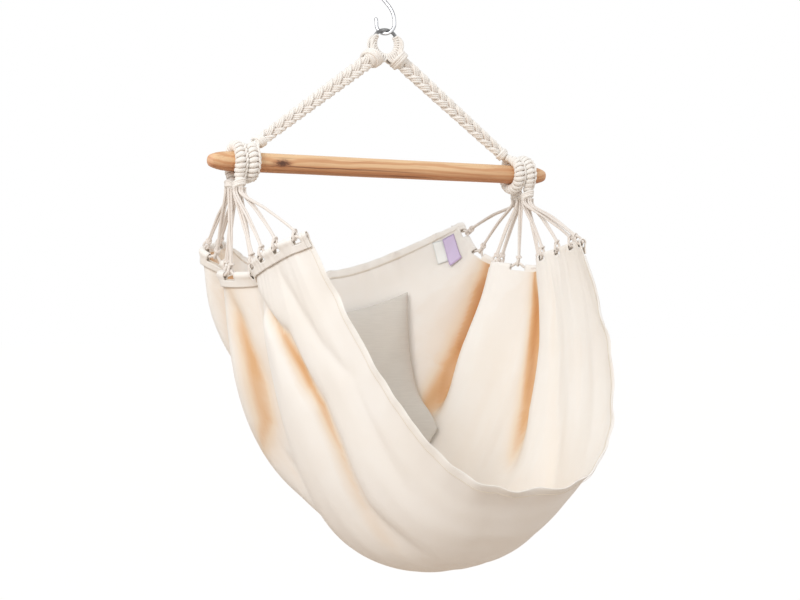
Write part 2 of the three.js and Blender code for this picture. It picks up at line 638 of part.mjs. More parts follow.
// Cushion: a crowned bag whose sides draw in between its corners, lying on the cloth behind it
function cushionGeometry() {
  const steps = 12;
  const spread = [];
  let v = CUSHION_TOP_SHARE;
  const stepLength = CUSHION_HEIGHT / steps;
  const middle = (share) => clothPoint(CUSHION_CENTRE_X, share);
  for (let i = 0; i <= steps; i++) {
    spread.push(v);
    const here = middle(v).point;
    while (v < 1 && middle(v).point.distanceTo(here) < stepLength) v += 0.0005;
  }
  const rings = [];
  for (let i = 0; i <= steps; i++) {
    const row = [];
    const s = (2 * i) / steps - 1;
    for (let j = 0; j <= steps; j++) {
      const w = (2 * j) / steps - 1;
      const draw = 1 - CUSHION_DRAW_SHARE * (1 - s * s);
      const x = CUSHION_CENTRE_X + (w * draw * CUSHION_WIDTH) / 2;
      row.push({ ...clothPoint(x, spread[i]), crown: ((1 - s ** 4) * (1 - w ** 4)) ** 0.6 });
    }
    rings.push(row);
  }
  const offset = ({ point, normal }, distance) => point.clone().addScaledVector(normal, distance);
  const back = rings.map((row) => row.map((cell) => offset(cell, CUSHION_GAP + CLOTH / 2)));
  const front = rings.map((row) => row.map((cell) => {
    const depth = THREE.MathUtils.lerp(CUSHION_EDGE, CUSHION_THICK, cell.crown);
    return offset(cell, CUSHION_GAP + CLOTH / 2 + depth);
  }));
  return shellGeometry(front, back);
}

// The cloth at a distance from the middle plane: its point, and its direction towards the seat
function clothPoint(x, v) {
  const curve = clothCurve(x < clothCurve('left', v).getPoint(0).x ? 'left' : 'right', v);
  let [low, high] = [0, 1];
  for (let i = 0; i < 24; i++) {
    const mid = (low + high) / 2;
    if (Math.abs(curve.getPoint(mid).x - curve.getPoint(0).x) < Math.abs(x - curve.getPoint(0).x)) low = mid;
    else high = mid;
  }
  const point = curve.getPoint(low);
  const name = x < clothCurve('left', v).getPoint(0).x ? 'left' : 'right';
  return { point, normal: seatwards(name, low, v) };
}

// A closed body between two matching grids of points
function shellGeometry(front, back) {
  const positions = [];
  const quad = (a, b, c, d) => {
    for (const point of [a, b, c, a, c, d]) positions.push(point.x, point.y, point.z);
  };
  const [rows, columns] = [front.length - 1, front[0].length - 1];
  for (let i = 0; i < rows; i++) {
    for (let j = 0; j < columns; j++) {
      quad(front[i][j], front[i + 1][j], front[i + 1][j + 1], front[i][j + 1]);
      quad(back[i][j], back[i][j + 1], back[i + 1][j + 1], back[i + 1][j]);
    }
    quad(front[i][0], back[i][0], back[i + 1][0], front[i + 1][0]);
    quad(front[i + 1][columns], back[i + 1][columns], back[i][columns], front[i][columns]);
  }
  for (let j = 0; j < columns; j++) {
    quad(front[0][j + 1], back[0][j + 1], back[0][j], front[0][j]);
    quad(front[rows][j], back[rows][j], back[rows][j + 1], front[rows][j + 1]);
  }
  const geometry = new THREE.BufferGeometry();
  geometry.setAttribute('position', new THREE.Float32BufferAttribute(positions, 3));
  return geometry;
}

// The least gap between the turns of a wound cord, measured between points a turn or more apart
function leastGap(points, diameter, stepsApart) {
  let least = Infinity;
  for (let i = 0; i < points.length; i++) {
    for (let j = i + stepsApart; j < points.length; j++) {
      least = Math.min(least, points[i].distanceTo(points[j]));
    }
  }
  return least - diameter;
}

const chair = new THREE.Group();
function add(parent, name, geometry, material) {
  const mesh = new THREE.Mesh(geometry, material);
  mesh.name = name;
  parent.add(mesh);
}

add(chair, 's_hook', hookGeometry(), COLORS.zinc);
add(chair, 'hanging_ring', ringGeometry(), COLORS.steel);
add(chair, 'spreader_bar', barGeometry(), COLORS.wood);
for (const [name, sign] of SIDES) {
  const suspension = new THREE.Group();
  chair.add(suspension);
  add(suspension, `${name}_ring_eye`, eyeGeometry(sign), COLORS.rope);
  add(suspension, `${name}_braid`, braidGeometry(sign), COLORS.rope);
  add(suspension, `${name}_braid_collar`, braidCollarGeometry(sign), COLORS.rope);
  add(suspension, `${name}_bar_loop`, tube(loopPoints(sign), CORE_CORD, 8), COLORS.rope);
  const loopHitches = hitchPoints(sign, LOOP_X, LOOP_ARC_START, 360 - LOOP_ARC_START);
  add(suspension, `${name}_bar_loop_hitches`, tube(loopHitches, HITCH_CORD, 5), COLORS.rope);

  const fan = new THREE.Group();
  chair.add(fan);
  add(fan, `${name}_saddle`, tube(saddlePoints(sign), CORE_CORD, 8), COLORS.rope);
  const saddleHitches = hitchPoints(sign, SADDLE_X, SADDLE_ARC_END, -SADDLE_ARC_END);
  add(fan, `${name}_saddle_hitches`, tube(saddleHitches, HITCH_CORD, 5), COLORS.rope);
  add(fan, `${name}_front_fan_collar`, fanCollarGeometry(sign, -1), COLORS.rope);
  add(fan, `${name}_back_fan_collar`, fanCollarGeometry(sign, 1), COLORS.rope);
  const places = [fanPlaces(name, 1), fanPlaces(name, -1)];
  for (let i = 0; i < cordCount; i++) {
    const points = fanCordPoints(name, sign, i, places[i < FAN_PER_COLLAR ? 0 : 1]);
    const label = String(i + 1).padStart(2, '0');
    add(fan, `${name}_fan_cord_${label}`, tube(points, FAN_CORD, 5), COLORS.rope);
  }
  add(fan, `${name}_hem_rope`, hemRopeGeometry(name), COLORS.rope);
  const gaps = [loopHitches, saddleHitches].map((points) => leastGap(points, HITCH_CORD, 6).toFixed(2));
  console.log(`${name} hitches: least gap to themselves ${gaps.join(' and ')} mm`);
}
add(chair, 'sling', slingGeometry(), COLORS.canvas);
add(chair, 'cushion', cushionGeometry(), COLORS.linen);

export default chair;
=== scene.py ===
# A hammock chair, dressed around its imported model. Metres, +Z up, the spreader bar along X, the open
# front of the seat towards -Y, left towards -X as one sees it from the front, and the origin where the
# S-hook bears on what holds it.
import math

import bmesh
import bpy
import numpy as np
from mathutils import Matrix, Vector, noise
from mathutils.bvhtree import BVHTree


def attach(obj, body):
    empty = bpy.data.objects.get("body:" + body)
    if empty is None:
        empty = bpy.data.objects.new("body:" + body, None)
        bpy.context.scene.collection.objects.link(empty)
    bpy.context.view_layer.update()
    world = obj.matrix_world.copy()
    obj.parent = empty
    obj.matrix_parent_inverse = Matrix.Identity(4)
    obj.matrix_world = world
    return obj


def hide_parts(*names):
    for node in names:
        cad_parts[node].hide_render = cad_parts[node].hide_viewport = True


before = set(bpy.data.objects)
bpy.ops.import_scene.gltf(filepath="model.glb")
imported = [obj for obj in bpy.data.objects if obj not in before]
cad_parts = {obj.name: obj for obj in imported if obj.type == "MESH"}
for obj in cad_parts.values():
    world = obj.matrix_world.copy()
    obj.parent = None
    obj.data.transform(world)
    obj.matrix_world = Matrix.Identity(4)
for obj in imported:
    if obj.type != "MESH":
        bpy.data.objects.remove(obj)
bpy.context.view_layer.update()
scene = bpy.context.scene
scene.view_settings.view_transform = "Standard"

# The camera stands to the left of the chair's front, level with the seat's upper half.
CAMERA_LENS = 67.86
CAMERA_SHIFT = (0.0181, 0.0113)
CAMERA_PLACE = (-1.4528, -2.8512, -0.71515)
CAMERA_TURN = 27
camera_data = bpy.data.cameras.new("camera")
camera_data.lens = CAMERA_LENS
camera_data.sensor_width = 36
camera_data.sensor_fit = "HORIZONTAL"
camera_data.shift_x, camera_data.shift_y = CAMERA_SHIFT
camera = bpy.data.objects.new("camera", camera_data)
camera.location = CAMERA_PLACE
camera.rotation_euler = (math.radians(90), 0, math.radians(-CAMERA_TURN))
scene.collection.objects.link(camera)
scene.camera = camera


# The room is a pale studio: a wide floor some way under the hanging seat, a white surround, one large
# soft lamp high on the left and a weak one on the right.
class Value:
    """One output of a shader node. Sums with numbers and with other outputs add Math nodes."""

    def __init__(self, finish, socket):
        self.finish, self.socket = finish, socket

    def maths(self, operation, *terms):
        return self.finish.node("ShaderNodeMath", {"operation": operation}, terms)

    def __add__(self, other):
        return self.maths("ADD", self, other)

    def __radd__(self, other):
        return self.maths("ADD", other, self)

    def __sub__(self, other):
        return self.maths("SUBTRACT", self, other)

    def __rsub__(self, other):
        return self.maths("SUBTRACT", other, self)

    def __mul__(self, other):
        return self.maths("MULTIPLY", self, other)

    def __rmul__(self, other):
        return self.maths("MULTIPLY", other, self)

    def most(self, other):
        return self.maths("MAXIMUM", self, other)

    def sine(self):
        return self.maths("SINE", self)


class Finish:
    """A material under its Principled shader. Each node is made from its type, settings and sockets."""

    def __init__(self, name, **shader):
        self.material = bpy.data.materials.new(name)
        self.material.use_nodes = True
        self.tree = self.material.node_tree
        self.shader = self.tree.nodes.get("Principled BSDF")
        self.set(**shader)

    def set(self, **sockets):
        for name, value in sockets.items():
            self.join(value, self.shader.inputs[name.replace("_", " ")])

    def join(self, value, target):
        if isinstance(value, Value):
            self.tree.links.new(value.socket, target)
        else:
            target.default_value = value

    def node(self, kind, settings=None, sockets=(), output=0):
        made = self.tree.nodes.new(kind)
        for name, value in (settings or {}).items():
            if name == "stops":
                stops = made.color_ramp.elements
                while len(stops) < len(value):
                    stops.new(1)
                for stop, (place, colour) in zip(stops, value):
                    stop.position, stop.color = place, colour
            else:
                setattr(made, name, value)
        pairs = sockets.items() if isinstance(sockets, dict) else enumerate(sockets)
        for name, value in pairs:
            self.join(value, made.inputs[name])
        return Value(self, made.outputs[output])

    def blend(self, share, low, high):
        return self.node("ShaderNodeMix", {"data_type": "RGBA"}, {0: share, 6: low, 7: high}, 2)

    def place(self, scale=(1, 1, 1), centre=(0, 0, 0)):
        here = self.node("ShaderNodeTexCoord", output="Object")
        shift = [-c * s for c, s in zip(centre, scale)]
        return self.node("ShaderNodeMapping", {}, {"Vector": here, "Location": shift, "Scale": scale})

    def grain(self, where, scale, detail=2.0):
        return self.node("ShaderNodeTexNoise", {}, {"Vector": where, "Scale": scale, "Detail": detail})

    def ease(self, value, low, high):
        settings = {"interpolation_type": "SMOOTHSTEP"}
        return self.node("ShaderNodeMapRange", settings, {"Value": value, "From Min": low, "From Max": high})

    def mark(self, name):
        return self.node("ShaderNodeAttribute", {"attribute_name": name}, output="Fac")

    def bump(self, height, distance, strength=1.0):
        sockets = {"Strength": strength, "Distance": distance, "Height": height}
        return self.node("ShaderNodeBump", {}, sockets)


def paint(red, green, blue):
    """A colour as a paint chart gives it, 0 to 255, in the linear values that shaders take."""
    levels = [level / 255 for level in (red, green, blue)]
    return (*[((c + 0.055) / 1.055) ** 2.4 if c > 0.04 else c / 12.92 for c in levels], 1)


FLOOR_Z = -1.75
FLOOR_REACH = 40
FLOOR_WHITE_SHARE = 0.8
FLOOR_GLOW = 1.16
floor_finish = Finish("pale_floor", Roughness=0.9, Base_Color=paint(196, 180, 165))
whiteness = floor_finish.node("ShaderNodeEmission", {}, {"Color": (1, 1, 1, 1), "Strength": FLOOR_GLOW})
seen = floor_finish.node("ShaderNodeLightPath", output="Is Camera Ray").most(
    floor_finish.node("ShaderNodeLightPath", output="Is Glossy Ray"))
lit = Value(floor_finish, floor_finish.shader.outputs[0])
floor_look = floor_finish.node("ShaderNodeMixShader", {}, [FLOOR_WHITE_SHARE * seen, lit, whiteness])
floor_finish.join(floor_look, floor_finish.tree.nodes["Material Output"].inputs["Surface"])
floor_mesh = bpy.data.meshes.new("floor")
bm = bmesh.new()
bmesh.ops.create_grid(bm, x_segments=1, y_segments=1, size=FLOOR_REACH)
bmesh.ops.translate(bm, verts=bm.verts, vec=(0, 0, FLOOR_Z))
bm.to_mesh(floor_mesh)
bm.free()
floor = bpy.data.objects.new("floor", floor_mesh)
floor_mesh.materials.append(floor_finish.material)
scene.collection.objects.link(floor)

SURROUND_LEVEL = 0.75
LIT_SPOT = Vector((0, 0, -0.75))
LAMPS = (("high_left_lamp", (-3.0, -2.2, 1.3), 1.7, 79), ("right_lamp", (3.0, -1.8, 0.6), 2.0, 16))
world = bpy.data.worlds.new("surround")
world.use_nodes = True
scene.world = world
nodes, links = world.node_tree.nodes, world.node_tree.links
background = nodes["Background"]
rays = nodes.new("ShaderNodeLightPath")
shown = nodes.new("ShaderNodeMath")
shown.operation = "MAXIMUM"
links.new(rays.outputs["Is Camera Ray"], shown.inputs[0])
links.new(rays.outputs["Is Glossy Ray"], shown.inputs[1])
level = nodes.new("ShaderNodeMapRange")
level.inputs["To Min"].default_value = SURROUND_LEVEL
level.inputs["To Max"].default_value = 1.0
links.new(shown.outputs[0], level.inputs["Value"])
links.new(level.outputs[0], background.inputs["Strength"])
background.inputs["Color"].default_value = (1, 1, 1, 1)

for lamp_name, place, size, watts in LAMPS:
    lamp_data = bpy.data.lights.new(lamp_name, "AREA")
    lamp_data.size = size
    lamp_data.energy = watts
    lamp = bpy.data.objects.new(lamp_name, lamp_data)
    lamp.location = place
    lamp.rotation_euler = (LIT_SPOT - Vector(place)).to_track_quat("-Z", "Y").to_euler()
    scene.collection.objects.link(lamp)


# The S-hook is one bent wire, zinc plated and bright; the faint lines of drawn wire along it are not
# modelled, only a faint mottle of tone and gloss.
def smooth_line(points, step):
    """Points an even step apart along a smooth curve through the given ones."""
    knots = [np.array(p, float) for p in points]
    knots = [2 * knots[0] - knots[1], *knots, 2 * knots[-1] - knots[-2]]
    share = np.linspace(0, 1, 12, endpoint=False)[:, None]
    runs = []
    for a, b, c, d in zip(knots, knots[1:], knots[2:], knots[3:]):
        ab, bc, cd = (max(np.linalg.norm(q - p), 1e-9) ** 0.5 for p, q in ((a, b), (b, c), (c, d)))
        leave = ((b - a) / ab - (c - a) / (ab + bc) + (c - b) / bc) * bc
        arrive = ((c - b) / bc - (d - b) / (bc + cd) + (d - c) / cd) * bc
        bend = 3 * (c - b) - 2 * leave - arrive
        runs.append(b + leave * share + bend * share**2 + (2 * (b - c) + leave + arrive) * share**3)
    line = np.concatenate([*runs, knots[-2][None]])
    return evenly(line, max(2, round(length_of(line) / step)))


def length_of(line):
    return np.linalg.norm(np.diff(line, axis=0), axis=1).sum()


def run_along(line):
    """How far along a line each of its points lies."""
    return np.concatenate([[0], np.cumsum(np.linalg.norm(np.diff(line, axis=0), axis=1))])


def evenly(line, steps):
    """The same line with its points at even steps, or at the given lengths along it."""
    run = run_along(line)
    places = np.linspace(0, run[-1], steps + 1) if np.isscalar(steps) else steps
    return np.stack([np.interp(places, run, line[:, k]) for k in range(3)], axis=1)


def unit(vectors):
    return vectors / np.maximum(np.linalg.norm(vectors, axis=-1, keepdims=True), 1e-12)


def frames_along(line, first=(0.31, 0.67, 0.45)):
    """The direction of a line at each point, and two ways square to it that don't twist."""
    ways = unit(np.gradient(line, axis=0))
    side = np.array(first, float)
    sides = []
    for way in ways:
        side = unit(side - way * side.dot(way))
        sides.append(side)
    sides = np.array(sides)
    return ways, sides, np.cross(ways, sides)


def net(bm, places):
    """A grid of bmesh's own, with each crossing moved to its place. Returns its vertices in rows."""
    rows, columns = places.shape[:2]
    made = bmesh.ops.create_grid(bm, x_segments=columns - 1, y_segments=rows - 1, size=0.5)["verts"]
    for vert, place in zip(made, places.reshape(-1, 3).tolist()):
        vert.co = place
    return [made[i * columns:(i + 1) * columns] for i in range(rows)]


def new_mesh():
    bm = bmesh.new()
    bm.verts.layers.float.new("open")
    return bm


def add_cord(bm, line, diameter, sides=9, thickness=None, outward=None, flat=1.0):
    """A soft cord along a line, closed at both ends. It can be pressed flat against what lies under it."""
    ways, side, up = frames_along(line)
    if outward is not None:
        up = unit(outward - ways * np.sum(outward * ways, axis=1)[:, None])
        side = np.cross(ways, up)
    turn = 2 * math.pi * np.arange(sides + 1) / sides
    section = np.cos(turn)[None, :, None] * side[:, None] + flat * np.sin(turn)[None, :, None] * up[:, None]
    reach = np.full(len(line), diameter / 2) * (1 if thickness is None else thickness)
    places = line[:, None] + reach[:, None, None] * section
    ends = [np.repeat(line[i][None, None], sides + 1, axis=1) for i in (0, -1)]
    rows = net(bm, np.concatenate([ends[0], places, ends[1]]))
    bmesh.ops.remove_doubles(bm, verts=[vert for row in rows for vert in row], dist=1e-7)


def mark_openness(bm, count, reach, lift):
    """Marks how open the space before each vertex is, found by rays spread about its normal."""
    bmesh.ops.recalc_face_normals(bm, faces=bm.faces)
    bm.normal_update()
    tree = BVHTree.FromBMesh(bm)
    mark = bm.verts.layers.float["open"]
    golden = math.pi * (3 - math.sqrt(5))
    spread = []
    for k in range(count):
        height = 1 - (k + 0.5) / count * 0.9
        flat = math.sqrt(1 - height * height)
        spread.append(Vector((flat * math.cos(golden * k), flat * math.sin(golden * k), height)))
    for vert in bm.verts:
        turn = vert.normal.to_track_quat("Z", "Y")
        start = vert.co + vert.normal * lift
        total = 0.0
        for ray in spread:
            found = tree.ray_cast(start, turn @ ray, reach)[3]
            total += 1 if found is None else found / reach
        vert[mark] = total / count


def add_piece(name, bm, body, slot, finish, *replaced):
    """Makes a mesh a smooth piece that rides on a body, in the place of CAD nodes."""
    bmesh.ops.recalc_face_normals(bm, faces=bm.faces)
    mesh = bpy.data.meshes.new(name)
    bm.to_mesh(mesh)
    bm.free()
    mesh.shade_smooth()
    mesh.materials.append(finish.material)
    piece = bpy.data.objects.new(name, mesh)
    scene.collection.objects.link(piece)
    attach(piece, body)
    if replaced:
        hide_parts(*replaced)
    return piece


HOOK_WIRE = 0.0072
HOOK_BEND = 0.020
HOOK_SPAN = 0.0944
HOOK_TIP = 0.015
HOOK_FLARE = 0.002
HOOK_TURN = -math.pi / 4
HOOK_STEP = 0.0012
UPPER_BEND_Z = -(HOOK_BEND - HOOK_WIRE / 2)
LOWER_BEND_Z = UPPER_BEND_Z - HOOK_SPAN


def hook_point(outwards, height):
    return (outwards * math.cos(HOOK_TURN), outwards * math.sin(HOOK_TURN), height)


hook_line = [hook_point(-HOOK_BEND - HOOK_FLARE, LOWER_BEND_Z + HOOK_TIP),
             hook_point(-HOOK_BEND - HOOK_FLARE / 4, LOWER_BEND_Z + HOOK_TIP / 2)]
for step in range(17):
    angle = math.pi * step / 16
    hook_line.append(hook_point(-HOOK_BEND * math.cos(angle), LOWER_BEND_Z - HOOK_BEND * math.sin(angle)))
for step in range(1, 12):
    share = step / 12
    outwards = HOOK_BEND * ((1 - share) ** 3 + 3 * (1 - share) ** 2 * share
                            - 3 * (1 - share) * share**2 - share**3)
    bow = 3 * (1 - share) ** 2 * share / 2 + 3 * (1 - share) * share**2 / 2 + share**3
    hook_line.append(hook_point(outwards, LOWER_BEND_Z + HOOK_SPAN * bow))
for step in range(17):
    angle = math.pi * step / 16
    hook_line.append(hook_point(-HOOK_BEND * math.cos(angle), UPPER_BEND_Z + HOOK_BEND * math.sin(angle)))
hook_line += [hook_point(HOOK_BEND + HOOK_FLARE / 4, UPPER_BEND_Z - HOOK_TIP / 2),
              hook_point(HOOK_BEND + HOOK_FLARE, UPPER_BEND_Z - HOOK_TIP)]

zinc = Finish("zinc_plating", Metallic=1.0)
mottle = zinc.ease(zinc.grain(zinc.place(), 60, 2), 0.3, 0.7)
tone = zinc.blend(mottle, paint(222, 224, 228), paint(240, 241, 244))
# Where the wire's surface turns away from the eye its colour is painted dark: a painted reflection along its
# edges.
painted_rim_reflection = zinc.ease(zinc.node("ShaderNodeLayerWeight", {}, {"Blend": 0.5}, "Facing"), 0.14, 0.48)
zinc.set(Base_Color=zinc.blend(painted_rim_reflection, tone, paint(58, 60, 68)), Roughness=0.09 + 0.06 * mottle)
line = smooth_line(hook_line, HOOK_STEP)
run = np.arange(len(line))
tips = np.minimum(np.minimum(run, run[::-1]) / 3, 1)
bm = new_mesh()
add_cord(bm, line, HOOK_WIRE, sides=20, thickness=np.sqrt(1 - (1 - tips) ** 2 * 0.7))
add_piece("hook_wire", bm, "hook", "zinc_plate", zinc, "s_hook")

# The ring is welded from dull steel wire. It hangs in the hook's lower bend and shows its weld above.
RING_WIRE = 0.0074
RING_RADIUS = (0.066 - RING_WIRE) / 2
RING_PLAY = 0.00065
RING_TOP_Z = LOWER_BEND_Z - HOOK_BEND + (HOOK_WIRE + RING_WIRE) / 2 + RING_PLAY
RING_Z = RING_TOP_Z - RING_RADIUS
WELD_ANGLE = 2.1
WELD_WIDTH = 0.07
WELD_SWELL = 0.08

steel = Finish("dull_steel", Metallic=1.0)
mottle = steel.grain(steel.place(), 180, 4)
rubbed = steel.ease(steel.grain(steel.place(), 45, 2), 0.4, 0.62)
steel.set(Base_Color=steel.blend(rubbed, paint(112, 112, 113), paint(158, 158, 158)),
          Roughness=0.3 + 0.25 * mottle, Normal=steel.bump(mottle, 0.0001))
bm = new_mesh()
section = bmesh.ops.create_circle(bm, segments=24, radius=RING_WIRE / 2,
                                  matrix=Matrix.Translation((RING_RADIUS, 0, RING_Z)))["verts"]
edges = list({edge for vert in section for edge in vert.link_edges})
bmesh.ops.spin(bm, geom=section + edges, cent=(0, 0, RING_Z), axis=(0, 1, 0), angle=2 * math.pi,
               steps=96, use_merge=True, use_duplicate=False)
for vert in bm.verts:
    angle = math.atan2(vert.co.z - RING_Z, vert.co.x)
    swell = math.exp(-((angle - WELD_ANGLE) / WELD_WIDTH) ** 2) * WELD_SWELL
    middle = Vector((RING_RADIUS * math.cos(angle), 0, RING_Z + RING_RADIUS * math.sin(angle)))
    vert.co += (vert.co - middle) * swell
add_piece("ring_wire", bm, "ring", "ring_steel", steel, "hanging_ring")

# The spreader bar is a rod of pale softwood with reddish grain, one dark knot and blunt turned noses.
# It lies loose in the rope loops.
BAR_LENGTH = 0.8
BAR_RADIUS = 0.020
BAR_Z = RING_Z - 0.265
NOSE = ((0, 0), (0.0004, 0.0052), (0.0015, 0.0082), (0.0034, 0.0110), (0.0070, 0.0130), (0.0115, 0.0146),
        (0.019, 0.0168), (0.030, 0.0189), (0.040, 0.0197), (0.052, 0.0200))
ROD_REACH = 0.32
KNOT = (-0.245, -0.0190, BAR_Z - 0.001)
KNOT_SPREAD = (0.013, 0.012, 0.0052)
UNROUND = 0.012

wood = Finish("oiled_softwood", Coat_Weight=0.12, Coat_Roughness=0.4)
near_knot = wood.node("ShaderNodeVectorMath", {"operation": "LENGTH"},
                      [wood.place([1 / reach for reach in KNOT_SPREAD], KNOT)], "Value")
halo = 1 - wood.ease(near_knot, 0.4, 3.6)
ripple = wood.grain(wood.place((6, 22, 22)), 1.0, 3)
depth = wood.node("ShaderNodeVectorMath", {"operation": "LENGTH"},
                  [wood.place((0.04, 1, 1), (0, 0.011, BAR_Z - 0.026))], "Value")
growth = (depth * 760 + ripple * 9 + halo * 3).sine()
rings = wood.ease(growth, -0.2, 1.0)
fibre = wood.grain(wood.place((9, 520, 520)), 1.0, 3)
band = wood.ease(wood.grain(wood.place((2.2, 30, 30)), 1.0, 2), 0.35, 0.7)
tone = wood.blend(rings * 0.75, paint(233, 196, 152), paint(206, 150, 105))
tone = wood.blend(band * 0.5, tone, paint(196, 134, 90))
tone = wood.blend(wood.ease(fibre, 0.52, 0.74) * 0.4, tone, paint(160, 96, 60))
# From a wavy line just under the bar's middle the wood is painted darker and redder towards the bottom:
# painted shade on the bar's underside. The dark streaks of grain are shown only in that painted shade.
height = wood.node("ShaderNodeSeparateXYZ", {}, [wood.place((1, 1, 1), (0, 0, BAR_Z))], 2)
wander = wood.grain(wood.place((5, 0.1, 0.1)), 1.0, 2)
below = 1 - wood.ease(height + 0.010 * wander, -0.011, 0.007)
tone = wood.blend(below * 0.62, tone, paint(186, 116, 70))
streaks = wood.ease(wood.grain(wood.place((3.4, 210, 210)), 1.0, 2), 0.56, 0.70)
tone = wood.blend(streaks * below * 0.75, tone, paint(132, 72, 40))
wavy = height - 0.016 * wander + 0.0155
line_share = 1 - wood.ease(wood.node("ShaderNodeMath", {"operation": "ABSOLUTE"}, [wavy]), 0.0004, 0.0016)
beyond_knot = wood.node("ShaderNodeSeparateXYZ", {}, [wood.place((1, 1, 1), (KNOT[0], 0, 0))], 0)
reach = wood.ease(beyond_knot, -0.05, -0.01) * (1 - wood.ease(beyond_knot, 0.16, 0.34))
tone = wood.blend(line_share * reach * 0.75, tone, paint(104, 56, 32))
streak = wood.ease(wood.grain(wood.place((5, 170, 170), (0.1, 0, 0)), 1.0, 2), 0.60, 0.72) * halo
tone = wood.blend(streak, tone, paint(92, 52, 30))
tone = wood.blend((1 - wood.ease(near_knot, 0.8, 2.4)) * 0.55, tone, paint(150, 84, 48))
core = 1 - wood.ease(near_knot + 2.2 * wood.grain(wood.place((1, 1, 2)), 190, 3), 1.5, 2.7)
tone = wood.blend(core * 0.92, tone, paint(72, 38, 22))
tip = wood.node("ShaderNodeVectorMath", {"operation": "ABSOLUTE"}, [wood.place()])
tip = wood.node("ShaderNodeSeparateXYZ", {}, [tip])
tone = wood.blend(wood.ease(tip, 0.386, 0.3995) * 0.35, tone, paint(226, 168, 140))
wood.set(Base_Color=tone, Roughness=0.5 + 0.2 * fibre, Normal=wood.bump(fibre - 0.5 * core, 0.0002))

bm = new_mesh()
half = [(-BAR_LENGTH / 2 + along, radius) for along, radius in NOSE]
rod = [(x, BAR_RADIUS) for x in np.linspace(-ROD_REACH, ROD_REACH, 33)]
outline = half + rod + [(-x, radius) for x, radius in half[::-1]]
verts = [bm.verts.new((x, -radius, BAR_Z)) for x, radius in outline]
edges = [bm.edges.new(pair) for pair in zip(verts, verts[1:])]
bmesh.ops.spin(bm, geom=verts + edges, cent=(0, 0, BAR_Z), axis=(1, 0, 0), angle=2 * math.pi, steps=72,
               use_merge=True, use_duplicate=False)
bmesh.ops.remove_doubles(bm, verts=bm.verts, dist=1e-6)
for vert in bm.verts:
    wander = noise.noise(Vector((vert.co.x * 9, vert.co.y * 40, vert.co.z * 40)))
    vert.co.y *= 1 + UNROUND * wander
    vert.co.z += (vert.co.z - BAR_Z) * UNROUND * wander
add_piece("bar_rod", bm, "bar", "bar_wood", wood, "spreader_bar")

# Two plaited ropes run down from the ring. Each begins as an eye of parallel cotton cords laid over
# the ring's wire, and a wide wrapped knot of the same cord draws the eye together.
PLAIT_TOP = (0.041, 0, RING_Z - 0.0395)
PLAIT_END = (0.281, 0, BAR_Z + 0.049)
EYE_CORD = 0.0050
EYE_CORDS = 12
EYE_STEP = 0.0017
EYE_FIRST_ANGLE = 147
EYE_STEP_ANGLE = 11.2
EYE_KNOT_RISE = 0.0215
EYE_KNOT_REACH = 0.0150
EYE_KNOT_CORD = 0.0072
EYE_KNOT_SLANT = 0.34
EYE_PLAY = 0.0003
EYE_FOOT_DEPTH = 0.006
EYE_FOOT_SPREAD = 0.0135
EYE_BULGE_IN = 0.004
EYE_BULGE_OUT = 0.009
EYE_SWAY = 0.0012
EYE_GAP = 0.0015
EYE_LAYER = 0.0055
EYE_CROWN = 0.0035
WHIPPING_TURNS = 3
SIDES = (("left", -1), ("right", 1))


def cotton_finish(name, groove_shade, crown):
    """Soft undyed cotton cord, with painted shade: darker and warmer where its grooves close it in."""
    cotton = Finish(name, Roughness=0.92, Sheen_Weight=0.15, Sheen_Roughness=0.5)
    # The openness mark paints the grooves darker and warmer: painted shade.
    painted_light_share = cotton.ease(cotton.mark("open"), 0.25, 0.8)
    fuzz = cotton.grain(cotton.place(), 700, 2)
    stain = cotton.ease(cotton.grain(cotton.place(), 28, 2), 0.35, 0.8)
    tone = cotton.blend(stain * 0.35, cotton.blend(painted_light_share, groove_shade, crown), paint(236, 227, 219))
    cotton.set(Base_Color=tone, Normal=cotton.bump(fuzz, 0.0002, 0.4))
    return cotton


cotton = cotton_finish("cotton_rope", paint(222, 206, 194), paint(246, 243, 238))
fan_cotton = cotton_finish("cotton_fan_cord", paint(210, 194, 184), paint(236, 229, 222))


def mirrored(point, side):
    return np.array([side * point[0], point[1], point[2]], float)


def plait_way(side):
    top, end = mirrored(PLAIT_TOP, side), mirrored(PLAIT_END, side)
    return top, end, unit(end - top)


def add_rope_piece(name, bm, body, *replaced, finish=cotton):
    mark_openness(bm, count=8, reach=0.007, lift=0.0004)
    return add_piece(name, bm, body, "cotton_rope", finish, *replaced)


def add_whipping(bm, start, end, core, cord, turns, slant=0.0, sides=9, lean=0.0):
    """Turns of cord laid close round a bundle, over a plug that closes the bundle."""
    way = unit(end - start)
    inner = np.array([start, end])
    _, side, up = frames_along(inner)
    steps = turns * 24
    angle = 2 * math.pi * turns * np.arange(steps + 1) / steps
    share = np.linspace(0.5 / turns, 1 - 0.5 / turns, steps + 1)
    reach = core + cord / 2 + 0.0004 * np.sin(angle * 0.37 + 10 * core)
    line = start + (end - start) * share[:, None] + reach[:, None] * (
        np.cos(angle)[:, None] * side[0] + np.sin(angle)[:, None] * up[0])
    line += way * (slant * reach * np.cos(angle - lean))[:, None]
    add_cord(bm, line, cord, sides=sides)
    insets = start + way * 0.001, start + way * 0.003, end - way * 0.003, end - way * 0.001
    add_cord(bm, np.array(insets), 2 * core + cord * 0.5, sides=20, thickness=np.array([0.8, 1, 1, 0.8]))


